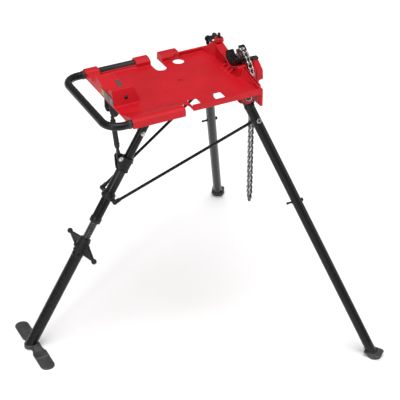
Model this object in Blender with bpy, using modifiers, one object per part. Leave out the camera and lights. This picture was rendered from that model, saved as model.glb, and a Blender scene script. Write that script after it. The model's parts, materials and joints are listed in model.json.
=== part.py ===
"""Folding tripod pipe stand with a cast tool tray, chain vise and screw-levelled tail leg.

World frame: +Z up, floor at z = 0, the symmetry plane of the legs is y = 0, the vise end is +X.
Metres throughout. Every moving body hangs from an empty that stands on its joint's axis.
"""
import math

import bmesh
import bpy
from mathutils import Matrix, Vector

# ---------------------------------------------------------------- driving dimensions
GAP = 0.0003                        # air gap left between touching solids

# tray casting
FLOOR_LOW, FLOOR_TOP, RIM_TOP = 0.852, 0.858, 0.870
TRAY_TAIL_X, TRAY_VISE_X = -0.190, 0.264
TRAY_HALF_W = 0.172
FLANGE_TOP = 0.8795
REST_END_X, LEDGE_DEPTH = -0.1290, 0.0040   # pipe rest's far flank and the ledge along its end
SLOT_R = 0.019                      # far pipe-bending slot
SLOT_X, SLOT_BOTTOM_Y = 0.050, 0.100
HOOK_R = 0.021                      # near pipe-bending hook
HOOK_X, HOOK_Y = -0.001, -0.146

# carrying handle
HANDLE_R, HANDLE_Z, HANDLE_HALF_W = 0.0125, 0.862, 0.1766
HANDLE_END_X, HANDLE_BEND_R = -0.262, 0.050
HANDLE_NEAR_STOP_X, HANDLE_FAR_STOP_X = -0.030, 0.006

# vise
JAW_Z, JAW_VALLEY_Z = 0.910, 0.889
CRANK_POS, CRANK_REACH = Vector((0.250, 0.148, 0.8905)), 0.0310
CHAIN_X, CHAIN_PITCH = 0.279, 0.01905
CHAIN_HANG_Y, CHAIN_TOP_Z = -0.072, 0.866
CHAIN_HALF_W, LINK_END_R = 0.0085, 0.0060
LINKS_PER_SEGMENT = (8, 8, 8)

# front legs (the right one stands at -Y, the left one at +Y)
LEG_HINGE = Vector((0.221, 0.133, 0.828))
LEG_DIR = Vector((0.2798, 0.4350, -0.8558)).normalized()
LEG_AXIS = Vector((0.0, 0.8915, 0.4530)).normalized()
LEG_R, LEG_WALL, LEG_LEN = 0.016, 0.0025, 0.940
HINGE_BORE_R = 0.0053
BRACE_PIN_DROP, PEG_DROP = 0.083, 0.375
PEG_R, PEG_DIR = 0.0033, Vector((-0.96, 0.0, 0.28)).normalized()

FOOT_LOW, FOOT_TOP, FOOT_HALF_W, FOOT_PAD_OUT = 0.0133, 0.0175, 0.0235, 0.0170

# tail leg
TAIL_HINGE = Vector((-0.017, 0.0, 0.815))
TAIL_DIR = Vector((-0.5166, 0.0, -0.8563)).normalized()
TAIL_UPPER_R, TAIL_OUTER_R, TAIL_LOWER_R = 0.014, 0.0165, 0.0185
TAIL_WALL, LOWER_WALL = 0.0025, 0.0030
EAR_DROP, BRACKET_DROP, OUTER_END_DROP = 0.219, 0.352, 0.455
SCREW_R = 0.0125
HUB_TOP_DROP, HUB_BOTTOM_DROP = 0.517, 0.570
LOWER_END_DROP = 0.908
PEDAL_X = -0.4995                   # centre of the foot pedal on the floor
WHEEL_ARM = 0.100
STRUT_OFFSET = 0.032
ROD_BRACKET_Y = 0.050

# brace rods and folding strut
ROD_R = 0.005
ROD_END_OUT = 0.0235                # rod eye's centre from the front leg's centre line
STRUT_R, STRUT_ROD_R, STRUT_LEN, BARREL_TOP = 0.0085, 0.004, 0.158, 0.140
STRUT_TILT = math.radians(-6.5)     # from vertical, leaning to the tail

# ---------------------------------------------------------------- materials
RED = ("red_casting", (0.60, 0.010, 0.022), 0.38, 0.0)
BLACK = ("black_coat", (0.018, 0.018, 0.020), 0.42, 0.0)
GREY = ("grey_coat", (0.075, 0.075, 0.078), 0.5, 0.0)
STEEL = ("bright_steel", (0.62, 0.62, 0.63), 0.3, 1.0)
DARK_STEEL = ("dark_steel", (0.10, 0.10, 0.105), 0.42, 0.9)
RUBBER = ("black_plastic", (0.02, 0.02, 0.02), 0.7, 0.0)
LABEL = ("label_film", (0.45, 0.45, 0.44), 0.5, 0.0)


def material(spec):
    """One Principled material, shared by the pieces with the same finish."""
    name, colour, roughness, metallic = spec
    found = bpy.data.materials.get(name)
    if found:
        return found
    made = bpy.data.materials.new(name)
    made.use_nodes = True
    shader = made.node_tree.nodes["Principled BSDF"]
    shader.inputs["Base Color"].default_value = (*colour, 1.0)
    shader.inputs["Roughness"].default_value = roughness
    shader.inputs["Metallic"].default_value = metallic
    made.diffuse_color = (*colour, 1.0)
    return made


# ---------------------------------------------------------------- scene set-up
for old in list(bpy.data.objects):
    bpy.data.objects.remove(old, do_unlink=True)

STAND = bpy.data.collections.new("tripod_pipe_stand")
bpy.context.scene.collection.children.link(STAND)


def joint_empty(name, location, rotation=Matrix.Identity(3), parent=None):
    """An empty on a joint's axis; the moving body's pieces are its children."""
    empty = bpy.data.objects.new(name, None)
    empty.empty_display_size = 0.03
    STAND.objects.link(empty)
    world = Matrix.Translation(location) @ Matrix(rotation).to_4x4()
    if parent:
        empty.parent = parent
        bpy.context.view_layer.update()
        empty.matrix_parent_inverse = parent.matrix_world.inverted()
    empty.matrix_basis = world
    bpy.context.view_layer.update()
    return empty


def frame_from(z_axis, y_axis):
    """Rotation whose columns are the local X, Y and Z axes."""
    z = Vector(z_axis).normalized()
    y = Vector(y_axis).normalized()
    return Matrix((y.cross(z), y, z)).transposed()


# ---------------------------------------------------------------- shape helpers
def add_object(mesh, name="tool"):
    obj = bpy.data.objects.new(name, mesh)
    STAND.objects.link(obj)
    return obj


def discard(obj):
    mesh = obj.data
    bpy.data.objects.remove(obj, do_unlink=True)
    if isinstance(mesh, bpy.types.Mesh):
        bpy.data.meshes.remove(mesh)
    else:
        bpy.data.curves.remove(mesh)


def baked(obj, weld=False):
    """A new mesh object with the modifiers or the curve's depth applied; obj is removed."""
    bpy.context.view_layer.update()
    depsgraph = bpy.context.evaluated_depsgraph_get()
    mesh = bpy.data.meshes.new_from_object(obj.evaluated_get(depsgraph))
    if weld:
        bm = bmesh.new()
        bm.from_mesh(mesh)
        bmesh.ops.remove_doubles(bm, verts=bm.verts, dist=0.000005)
        bm.to_mesh(mesh)
        bm.free()
    result = add_object(mesh)
    result.matrix_world = obj.matrix_world.copy()
    discard(obj)
    return result


def bevelled(obj, width, segments=1, angle=math.radians(40)):
    modifier = obj.modifiers.new("Bevel", "BEVEL")
    modifier.width = width
    modifier.segments = segments
    modifier.limit_method = "ANGLE"
    modifier.angle_limit = angle
    return baked(obj)


def box(low, high, bevel=0.0):
    """An axis-aligned box between two corners."""
    low, high = Vector(low), Vector(high)
    bm = bmesh.new()
    centre = Matrix.Translation((low + high) / 2)
    bmesh.ops.create_cube(bm, size=1.0, matrix=centre @ Matrix.Diagonal((*(high - low), 1.0)))
    mesh = bpy.data.meshes.new("box")
    bm.to_mesh(mesh)
    bm.free()
    obj = add_object(mesh)
    return bevelled(obj, bevel) if bevel else obj


def cylinder(start, end, radius, radius_end=None, sides=24):
    """A closed cylinder or cone between two points."""
    start, end = Vector(start), Vector(end)
    along = end - start
    turn = along.to_track_quat("Z", "Y").to_matrix().to_4x4()
    bm = bmesh.new()
    bmesh.ops.create_cone(
        bm, cap_ends=True, cap_tris=False, segments=sides, radius1=radius,
        radius2=radius if radius_end is None else radius_end, depth=along.length,
        matrix=Matrix.Translation((start + end) / 2) @ turn)
    mesh = bpy.data.meshes.new("cylinder")
    bm.to_mesh(mesh)
    bm.free()
    return add_object(mesh)


def ball(centre, radius, segments=16, rings=10):
    bm = bmesh.new()
    bmesh.ops.create_uvsphere(bm, u_segments=segments, v_segments=rings, radius=radius,
                              matrix=Matrix.Translation(centre))
    mesh = bpy.data.meshes.new("ball")
    bm.to_mesh(mesh)
    bm.free()
    return add_object(mesh)


def tube(z_top, z_bottom, radius, wall, sides=28):
    """An open round tube along local Z: one cylindrical sheet thickened inwards."""
    bm = bmesh.new()
    bmesh.ops.create_cone(bm, cap_ends=False, segments=sides, radius1=radius, radius2=radius,
                          depth=z_top - z_bottom,
                          matrix=Matrix.Translation((0, 0, (z_top + z_bottom) / 2)))
    mesh = bpy.data.meshes.new("tube")
    bm.to_mesh(mesh)
    bm.free()
    obj = add_object(mesh)
    solid = obj.modifiers.new("Wall", "SOLIDIFY")
    solid.thickness = wall
    solid.offset = -1.0
    solid.use_even_offset = True
    return baked(obj)


def turned(profile, steps=28):
    """A solid of revolution about local Z; profile runs down its outer side, axis to axis."""
    mesh = bpy.data.meshes.new("profile")
    edges = [(i, i + 1) for i in range(len(profile) - 1)]
    mesh.from_pydata([(radius, 0.0, z) for radius, z in profile], edges, [])
    obj = add_object(mesh)
    screw = obj.modifiers.new("Turn", "SCREW")
    screw.steps = steps
    screw.render_steps = steps
    screw.use_merge_vertices = True
    screw.merge_threshold = 0.00001
    return baked(obj)


def plate(outline, low, high, plane="XY"):
    """A flat outline (closed list of points) thickened from low to high across its plane."""
    curve = bpy.data.curves.new("outline", "CURVE")
    curve.dimensions = "2D"
    curve.fill_mode = "BOTH"
    curve.extrude = (high - low) / 2
    spline = curve.splines.new("POLY")
    spline.points.add(len(outline) - 1)
    for point, (u, v) in zip(spline.points, outline):
        point.co = (u, v, 0.0, 1.0)
    spline.use_cyclic_u = True
    obj = bpy.data.objects.new("outline", curve)
    STAND.objects.link(obj)
    turns = {
        "XY": Matrix.Identity(4),
        "XZ": Matrix.Rotation(math.radians(90), 4, "X"),
        "YZ": Matrix(((0, 0, 1, 0), (1, 0, 0, 0), (0, 1, 0, 0), (0, 0, 0, 1))),
    }
    middle = (low + high) / 2
    offsets = {"XY": (0, 0, middle), "XZ": (0, middle, 0), "YZ": (middle, 0, 0)}
    obj.matrix_world = Matrix.Translation(offsets[plane]) @ turns[plane]
    result = baked(obj, weld=True)
    result.data.transform(result.matrix_world)
    result.matrix_world = Matrix.Identity(4)
    return result


def hull(points):
    """The convex solid around a few corner points, for wedges between unlike sections."""
    bm = bmesh.new()
    for point in points:
        bm.verts.new(point)
    bmesh.ops.convex_hull(bm, input=bm.verts)
    loose = [v for v in bm.verts if not v.link_faces]
    bmesh.ops.delete(bm, geom=loose, context="VERTS")
    bmesh.ops.recalc_face_normals(bm, faces=bm.faces)
    mesh = bpy.data.meshes.new("hull")
    bm.to_mesh(mesh)
    bm.free()
    return add_object(mesh)


def wire(points, radius, resolution=3):
    """A round bar along a list of points, with closed ends."""
    curve = bpy.data.curves.new("wire", "CURVE")
    curve.dimensions = "3D"
    curve.bevel_depth = radius
    curve.bevel_resolution = resolution
    curve.use_fill_caps = True
    spline = curve.splines.new("POLY")
    spline.points.add(len(points) - 1)
    for point, place in zip(spline.points, points):
        point.co = (*place, 1.0)
    obj = bpy.data.objects.new("wire", curve)
    STAND.objects.link(obj)
    return baked(obj, weld=True)


def combine(target, tool, operation):
    """target united with, cut by or limited to tool; tool is used up."""
    modifier = target.modifiers.new(operation.title(), "BOOLEAN")
    modifier.operation = operation
    modifier.solver = "EXACT"
    modifier.object = tool
    result = baked(target)
    discard(tool)
    return result


def united(pieces):
    result = pieces[0]
    for piece in pieces[1:]:
        result = combine(result, piece, "UNION")
    return result


def cut(target, *tools):
    for tool in tools:
        target = combine(target, tool, "DIFFERENCE")
    return target


def named(obj, name, finish, parent=None, smooth=True):
    """Gives a finished piece its name, material and place in the tree of bodies."""
    obj.name = name
    obj.data.name = name
    obj.data.materials.clear()
    obj.data.materials.append(material(finish))
    if smooth:
        obj.data.shade_smooth()
        obj.data.set_sharp_from_angle(angle=math.radians(35))
    obj.parent = parent
    return obj


def arc(centre, radius, start_deg, end_deg, count):
    """Points on a circular arc, for outlines."""
    steps = [start_deg + (end_deg - start_deg) * i / (count - 1) for i in range(count)]
    return [(centre[0] + radius * math.cos(math.radians(a)),
             centre[1] + radius * math.sin(math.radians(a))) for a in steps]


# ---------------------------------------------------------------- tray casting
def handle_bore(side, stop_x):
    """The space the handle's leg takes inside the casting."""
    y = side * HANDLE_HALF_W
    return cylinder((HANDLE_END_X, y, HANDLE_Z), (stop_x + GAP, y, HANDLE_Z), HANDLE_R + GAP)


def pipe_rest():
    """The hollow V-shaped block that supports the pipe at the tail end."""
    saddle = [(-0.058, FLOOR_LOW), (0.100, FLOOR_LOW), (0.092, 0.884), (0.078, 0.903),
              (0.010, 0.885), (-0.004, 0.885), (-0.026, 0.909), (-0.040, 0.907)]
    block = plate(saddle, TRAY_TAIL_X - 0.0004, -0.100, "YZ")
    end = hull([(x, y, z) for y in (-0.07, 0.11)
                for x, z in ((-0.1170, 0.93), (-0.1170, 0.908), (-0.1005, 0.8585),
                             (-0.09, 0.8585), (-0.09, 0.93))])
    far_end = hull([(x, y, z) for y in (-0.002, 0.11)
                    for x, z in ((REST_END_X, 0.93), (REST_END_X, 0.900), (-0.1130, 0.8587),
                                 (-0.09, 0.8587), (-0.09, 0.93))])
    ledge = hull([(x, y, flank_height(y) + dz) for x in (REST_END_X - 0.0135, -0.10)
                  for y in (0.001, 0.090) for dz in (-LEDGE_DEPTH, 0.03)])
    return cut(block, end, far_end, ledge)


def flank_height(y):
    """Height of the pipe rest's far flank."""
    return 0.885 + (0.903 - 0.885) / (0.078 - 0.010) * (y - 0.010)


def leg_clevis(side):
    """Two slanted cheeks under the tray that hold a front leg's hinge bolt."""
    cheeks = []
    for offset in (-0.0235, 0.0175):
        outline = [(-0.026, 0.060), (-0.021, 0.0), *arc((0, 0), 0.019, 190, 350, 9),
                   (0.021, 0.0), (0.026, 0.060)]
        cheek = plate(outline, offset, offset + 0.006, "XZ")
        cheek = cut(cheek, cylinder((0, -0.034, 0), (0, 0.034, 0), HINGE_BORE_R))
        y_axis = Vector((0, LEG_AXIS.y, side * LEG_AXIS.z))
        z_axis = Vector((1, 0, 0)).cross(y_axis)
        hinge = Vector((LEG_HINGE.x, side * LEG_HINGE.y, LEG_HINGE.z))
        cheek.data.transform(Matrix.Translation(hinge) @ frame_from(z_axis, y_axis).to_4x4())
        ceiling = box((-0.3, -0.4, 0.70), (0.4, 0.4, FLOOR_LOW + 0.003))
        cheeks.append(combine(cheek, ceiling, "INTERSECT"))
    return cheeks


def tail_clevis():
    """Two lugs that hold the tail leg's hinge pin; the folding strut passes between them."""
    x, z = TAIL_HINGE.x, TAIL_HINGE.z
    outline = [(x + 0.030, FLOOR_LOW + 0.003), (x - 0.034, FLOOR_LOW + 0.003),
               *arc((x, z), 0.017, 195, 345, 9)]
    return [cut(plate(outline, y, y + 0.007, "XZ"),
                cylinder((x, -0.04, z), (x, 0.04, z), HINGE_BORE_R)) for y in (-0.0225, 0.0155)]


def vise_wall():
    """The sloping wall that runs from the jaws down to the near corner."""
    return hull([(0.235, -0.010, FLOOR_LOW + 0.001), (0.255, -0.010, 0.890), (0.267, -0.010, 0.890),
                 (0.267, -0.010, FLOOR_LOW + 0.001), (0.254, -0.152, FLOOR_LOW + 0.001),
                 (0.258, -0.152, 0.869), (0.267, -0.152, 0.869),
                 (0.267, -0.152, FLOOR_LOW + 0.001)])


def vise_groove():
    """The channel along the top of the sloping wall."""
    return hull([(0.258, -0.050, 0.875), (0.264, -0.050, 0.875), (0.258, -0.052, 0.900),
                 (0.264, -0.052, 0.900), (0.2595, -0.146, 0.866), (0.2640, -0.146, 0.866),
                 (0.2595, -0.146, 0.880), (0.2640, -0.146, 0.880)])


def jaw_seat():
    """The block that carries the inner jaw, with its shoulder up to the screw tower."""
    profile = [(-0.060, FLOOR_LOW + 0.0015), (0.105, FLOOR_LOW + 0.0015), (0.100, 0.905),
               (0.060, 0.893), (0.044, 0.893), (0.006, 0.876), (-0.006, 0.876),
               (-0.044, 0.893), (-0.056, 0.893)]
    return plate(profile, 0.238, 0.2675, "YZ")


def screw_tower():
    """The boss on the far side that holds the tension screw."""
    boss = cut(cylinder((0.260, 0.118, FLOOR_LOW + 0.0007), (0.260, 0.118, 0.918), 0.0145),
               cylinder((0.260, 0.118, 0.9110), (0.260, 0.118, 0.940), 0.0053))
    foot = hull([(0.226, 0.160, FLOOR_LOW + 0.0012), (0.226, 0.166, 0.866),
                 (0.266, 0.166, FLOOR_LOW + 0.0012), (0.266, 0.166, 0.868),
                 (0.234, 0.092, FLOOR_LOW + 0.0012), (0.266, 0.092, FLOOR_LOW + 0.0012),
                 (0.250, 0.130, 0.908), (0.266, 0.106, 0.910), (0.266, 0.130, 0.908)])
    shaft_start = (CRANK_POS.x, 0.1335, CRANK_POS.z)
    foot = cut(foot, cylinder(shaft_start, (CRANK_POS.x, 0.190, CRANK_POS.z), 0.0053))
    return [boss, foot]


def gussets():
    """Three small ribs at the root of the jaw seat."""
    ribs = []
    for y in (0.030, 0.006, -0.018):
        ribs.append(hull([(x, y + dy, z) for dy in (-0.003, 0.003)
                          for x, z in ((0.222, FLOOR_LOW + 0.002), (0.2385, FLOOR_LOW + 0.002),
                                       (0.2385, 0.874), (0.222, FLOOR_TOP + 0.0015))]))
    return ribs


def tray_casting():
    floor_outline = [
        (TRAY_TAIL_X, -0.168), (HOOK_X - HOOK_R - 0.004, -0.168),
        (HOOK_X - HOOK_R - 0.004, -0.1735), (TRAY_VISE_X - 0.012, -0.1735),
        (TRAY_VISE_X, -0.164), (TRAY_VISE_X, 0.160), (TRAY_VISE_X - 0.014, TRAY_HALF_W),
        (0.136, TRAY_HALF_W), (0.126, 0.190), (0.012, 0.190), (-0.018, 0.158),
        (-0.142, 0.158), (-0.146, 0.188), (TRAY_TAIL_X, 0.188),
    ]
    near_flange = [(-0.100, FLOOR_LOW + 0.002), (-0.104, FLOOR_TOP - 0.0005), (-0.158, 0.8765),
                   (-0.170, FLANGE_TOP), (-0.182, FLANGE_TOP - 0.0015), (-0.1905, 0.871),
                   (-0.192, FLOOR_LOW - 0.0020), (-0.170, FLOOR_LOW - 0.0020)]
    far_lug = [(0.148, FLOOR_LOW + 0.0008), (0.192, FLOOR_LOW - 0.0020), (0.1915, 0.871),
               (0.184, FLANGE_TOP), (0.164, FLANGE_TOP), (0.150, 0.872)]
    far_block = [(0.150, FLOOR_LOW + 0.0013), (0.191, FLOOR_LOW + 0.0013), (0.190, 0.877),
                 (0.184, FLANGE_TOP), (0.160, FLANGE_TOP), (0.150, 0.870)]
    near_stop_x = HANDLE_NEAR_STOP_X + 0.019
    pieces = [
        plate(floor_outline, FLOOR_LOW, FLOOR_TOP),
        plate(near_flange, TRAY_TAIL_X + 0.002, near_stop_x, "YZ"),
        plate(far_lug, TRAY_TAIL_X - 0.0010, -0.1445, "YZ"),
        plate(far_lug, -0.0195, 0.0305, "YZ"),
        plate(far_block, 0.0695, 0.1330, "YZ"),
        box((0.020, -0.1765, 0.8515), (TRAY_VISE_X - 0.0060, -0.1655, RIM_TOP)),
        box((0.130, 0.1640, 0.8490), (0.2550, 0.1725, RIM_TOP + 0.0007)),
        box((-0.1450, 0.1540, 0.8485), (-0.0190, 0.1600, RIM_TOP - 0.003)),
        hull([(TRAY_TAIL_X - 0.0008, 0.094, FLOOR_LOW + 0.001), (-0.152, 0.094, FLOOR_LOW + 0.001),
              (TRAY_TAIL_X - 0.0008, 0.094, 0.878), (-0.162, 0.094, 0.878),
              (TRAY_TAIL_X - 0.0008, 0.155, FLOOR_LOW + 0.001), (-0.148, 0.155, FLOOR_LOW + 0.001),
              (TRAY_TAIL_X - 0.0008, 0.155, 0.876), (-0.149, 0.155, 0.876)]),
        box((TRAY_VISE_X - 0.0100, -0.1740, 0.8080), (TRAY_VISE_X - 0.0020, -0.1200, 0.8690)),
        pipe_rest(),
        *leg_clevis(-1), *leg_clevis(1), *tail_clevis(),
        jaw_seat(), vise_wall(), *screw_tower(), *gussets(),
    ]
    casting = united(pieces)
    slot_outline = [(SLOT_X + SLOT_R, 0.23), (SLOT_X - SLOT_R, 0.23),
                    *arc((SLOT_X, SLOT_BOTTOM_Y + SLOT_R), SLOT_R, 180, 360, 13)]
    hook_outline = [(HOOK_X + HOOK_R, -0.23), *arc((HOOK_X, HOOK_Y), HOOK_R, 0, 210, 15),
                    (HOOK_X - HOOK_R + 0.010, -0.175), (HOOK_X - HOOK_R + 0.006, -0.23)]
    jaw_pocket = [(-0.0505, 0.930), (-0.0505, 0.9105), (-0.0443, 0.8931), (-0.006, 0.8761),
                  (0.006, 0.8761), (0.0443, 0.8931), (0.0505, 0.9105), (0.0505, 0.930)]
    casting = cut(
        casting,
        plate(jaw_pocket, 0.2395, 0.2680, "YZ"),
        plate(slot_outline, 0.80, 0.90),
        plate(hook_outline, 0.80, 0.90),
        box((0.028, -0.1600, 0.83), (0.061, -0.110, 0.88)),
        box((0.112, -0.1600, 0.83), (0.146, -0.106, 0.88)),
        cylinder((0.121, 0.135, 0.80), (0.121, 0.135, 0.90), 0.019),
        cylinder((0.069, 0.012, FLOOR_TOP - 0.004), (0.069, 0.012, 0.88), 0.008),
        box((-0.1840, -0.0450, 0.84), (-0.1460, 0.0600, 0.8780)),
        vise_groove(),
        handle_bore(-1, HANDLE_NEAR_STOP_X), handle_bore(1, HANDLE_FAR_STOP_X),
    )
    return named(casting, "tray_casting", RED)


def carry_handle():
    bend = HANDLE_BEND_R
    near = [(HANDLE_NEAR_STOP_X, -HANDLE_HALF_W)]
    corner_near = arc((HANDLE_END_X + bend, -HANDLE_HALF_W + bend), bend, 270, 180, 9)
    corner_far = arc((HANDLE_END_X + bend, HANDLE_HALF_W - bend), bend, 180, 90, 9)
    far = [(HANDLE_FAR_STOP_X, HANDLE_HALF_W)]
    path = [(x, y, HANDLE_Z) for x, y in near + corner_near + corner_far + far]
    return named(wire(path, HANDLE_R, 4), "carry_handle", BLACK)


def rest_pad():
    """The dark wear pad on the ledge along the pipe rest's far flank."""
    pad = hull([(x, y, flank_height(y) + dz) for x in (REST_END_X - 0.0130, REST_END_X - 0.0005)
                for y in (0.008, 0.046) for dz in (GAP - LEDGE_DEPTH, 0.0004)])
    return named(pad, "pipe_rest_pad", DARK_STEEL)


def blank_label():
    face_x = TRAY_TAIL_X - 0.0014 - 0.0008
    return named(box((face_x, -0.052, 0.860), (face_x + 0.0009, 0.036, 0.8835)), "blank_label", LABEL)


def tail_bracket():
    """A black saddle under the tail end; the folding strut's tip stands between its cheeks."""
    top = FLOOR_LOW - GAP
    side = [(-0.1910, top), (-0.1910, 0.8230), (-0.1850, 0.8060), (-0.1700, 0.8020),
            (-0.1600, 0.8100), (-0.1560, top)]
    cheeks = [plate(side, y, y + 0.0030, "XZ") for y in (-0.0210, 0.0180)]
    roof = box((-0.1905, -0.0205, FLOOR_LOW - 0.0030), (-0.1565, 0.0205, top - 0.0002))
    return named(united([roof, *cheeks]), "tail_bracket", BLACK)


# ---------------------------------------------------------------- vise
def vise():
    seat_end = 0.8876 + GAP
    inner_outline = [(-0.037, JAW_Z + 0.002), (-0.032, seat_end), (-0.006, 0.876 + GAP),
                     (0.006, 0.876 + GAP), (0.032, seat_end), (0.037, JAW_Z + 0.002),
                     (0.030, JAW_Z + 0.004), (0.004, JAW_VALLEY_Z), (-0.004, JAW_VALLEY_Z),
                     (-0.030, JAW_Z + 0.004)]
    inner = plate(inner_outline, 0.2400, 0.2675, "YZ")
    named(inner, "inner_jaw", DARK_STEEL)

    yoke_outline = [(-0.058, 0.826), (0.058, 0.826), (0.064, 0.850), (0.052, 0.893),
                    (0.044, 0.893), (0.006, 0.876), (-0.006, 0.876), (-0.040, 0.890),
                    (-0.058, 0.870)]
    chain_side_x = TRAY_VISE_X + 0.0036 + 0.0230
    yoke = plate(yoke_outline, chain_side_x, chain_side_x + 0.0230, "YZ")
    web = box((TRAY_VISE_X + 0.0040, -0.050, 0.8280), (chain_side_x + 0.001, 0.055, 0.8420))
    back = box((0.2350, -0.048, 0.8280), (TRAY_VISE_X + 0.0050, 0.053, FLOOR_LOW - GAP))
    horn = hull([(0.3030, -0.030, 0.832), (0.3280, -0.030, 0.836), (0.3030, -0.062, 0.832),
                 (0.3260, -0.062, 0.836), (0.3030, -0.060, 0.868), (0.3250, -0.060, 0.868),
                 (0.2975, -0.0250, 0.899), (0.3180, -0.0250, 0.899), (0.2975, -0.0415, 0.899),
                 (0.3170, -0.0415, 0.899)])
    named(united([yoke, web, back, horn]), "chain_yoke", RED)

    outer_outline = [(-0.0236, 0.8833 + GAP), (-0.006, 0.876 + GAP), (0.006, 0.876 + GAP),
                     (0.044, 0.893 + GAP), (0.046, JAW_Z + 0.004), (0.036, JAW_Z + 0.005),
                     (0.004, JAW_VALLEY_Z + 0.003), (-0.004, JAW_VALLEY_Z + 0.003),
                     (-0.0236, JAW_Z - 0.006)]
    named(plate(outer_outline, chain_side_x + 0.0005, chain_side_x + 0.0210, "YZ"),
          "outer_jaw", DARK_STEEL)

    cap = plate([(0.2965, -0.0430), (0.3175, -0.0430), (0.3195, -0.0390), (0.3195, -0.0280),
                 (0.3170, -0.0245), (0.2965, -0.0245)], 0.899 + GAP, 0.9065)
    named(bevelled(cap, 0.0012), "horn_cap", BLACK)

    for word, y in (("near", -0.030), ("far", 0.030)):
        screw = cylinder((0.2377, y, 0.8780), (0.2340, y, 0.8780), 0.0045, sides=16)
        named(screw, f"{word}_jaw_screw", STEEL)


def tension_screw():
    """The vertical screw in the tower that anchors the far end of the chain."""
    shank = cylinder((0.260, 0.118, 0.9113), (0.260, 0.118, 0.936), 0.0050, sides=16)
    return named(shank, "tension_screw", DARK_STEEL)


def tension_crank():
    """The black crank on the far side that takes up the chain."""
    empty = joint_empty("tension_crank_joint", CRANK_POS)
    shaft = cylinder((0, -0.0140, 0), (0, 0.0345, 0), 0.0050, sides=16)
    named(shaft, "crank_shaft", DARK_STEEL, empty)
    low, high = 0.0260, 0.0330
    arm = united([
        cylinder((0, 0.0255, 0), (0, 0.0345, 0), 0.0105),
        hull([(x, y, z) for y in (low, high)
              for x, z in ((0.0, 0.0080), (0.0, -0.0080), *arc((CRANK_REACH, 0), 0.0070, -80, 80, 7))]),
        hull([(x, y, z) for y in (low, high)
              for x, z in ((-0.0075, 0.0), (0.0075, 0.0), *arc((0, -0.0180), 0.0055, 180, 360, 7))]),
    ])
    arm = cut(arm, cylinder((0, 0.02, 0), (0, 0.06, 0), 0.0050 + GAP, sides=16))
    named(arm, "crank_arm", BLACK, empty)
    knob = turned([(0.0, 0.0165), (0.0055, 0.0160), (0.0080, 0.0130), (0.0085, 0.0080),
                   (0.0075, 0.0030), (0.0055, 0.0), (0.0, 0.0)], 20)
    knob.data.transform(Matrix.Translation((CRANK_REACH, high + GAP, 0.0))
                        @ Matrix.Rotation(math.radians(-90), 4, "X"))
    named(knob, "crank_knob", RUBBER, empty)


# ---------------------------------------------------------------- chain
def chain_outline(links):
    """Side view of a straight run of chain along -Z, with its first pin at the origin.

    The first end is round, and the last end is hollow, so that the next run turns in it.
    """
    length = links * CHAIN_PITCH
    steps = links * 6
    points = []
    for i in range(1, steps):
        wave = math.cos(2 * math.pi * i / 6)
        points.append((0.0066 + 0.0018 * wave, -length * i / steps))
    points.append((0.0080, -length + 0.0014))
    points += arc((0, -length), LINK_END_R + GAP, 14, 166, 11)
    points += [(-y, z) for y, z in reversed(points[:steps])]
    return points + arc((0, 0), LINK_END_R, 192, -12, 13)


def chain_over_jaws():
    """The chain where it lies over the outer side of the jaws, down to its first free link."""
    half = 0.0078
    centre_line = [(0.014, 0.9208), (-0.010, 0.9215), (-0.029, 0.9150), (-0.046, 0.8995),
                   (-0.060, 0.8810), (CHAIN_HANG_Y, CHAIN_TOP_Z + 0.0014)]
    outer, inner = [], []
    for i, (y, z) in enumerate(centre_line):
        before = Vector(centre_line[max(i - 1, 0)])
        after = Vector(centre_line[min(i + 1, len(centre_line) - 1)])
        along = (after - before).normalized()
        if i == len(centre_line) - 1:
            along = Vector((0.0, -1.0))
        side = Vector((-along.y, along.x))
        outer.append((y - side.x * half, z - side.y * half))
        inner.append((y + side.x * half, z + side.y * half))
    strap = plate(outer + inner[::-1], CHAIN_X - CHAIN_HALF_W, CHAIN_X + CHAIN_HALF_W, "YZ")
    pin = Vector((0, CHAIN_HANG_Y, CHAIN_TOP_Z))
    socket = cylinder(pin + Vector((CHAIN_X - 0.02, 0, 0)), pin + Vector((CHAIN_X + 0.02, 0, 0)),
                      LINK_END_R + GAP, sides=32)
    return named(cut(strap, socket), "chain_over_jaws", STEEL)


def hanging_chain():
    """Three free lengths of chain, each hinged on the last pin of the one above."""
    top = Vector((CHAIN_X, CHAIN_HANG_Y, CHAIN_TOP_Z))
    parent = None
    for index, links in enumerate(LINKS_PER_SEGMENT):
        empty = joint_empty(f"chain_joint_{index + 1}", top, parent=parent)
        length = links * CHAIN_PITCH
        segment = plate(chain_outline(links), -CHAIN_HALF_W, CHAIN_HALF_W, "YZ")
        named(segment, f"chain_length_{index + 1}", STEEL, empty)
        top = top - Vector((0, 0, length))
        parent = empty
    last = (0, -LINKS_PER_SEGMENT[-1] * CHAIN_PITCH)
    end = plate([*arc(last, LINK_END_R, 180, 0, 11),
                 *arc((0, last[1] - 0.0130), 0.0060, 0, -180, 9)], -0.0050, 0.0050, "YZ")
    named(end, "chain_end_link", STEEL, parent)


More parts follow.
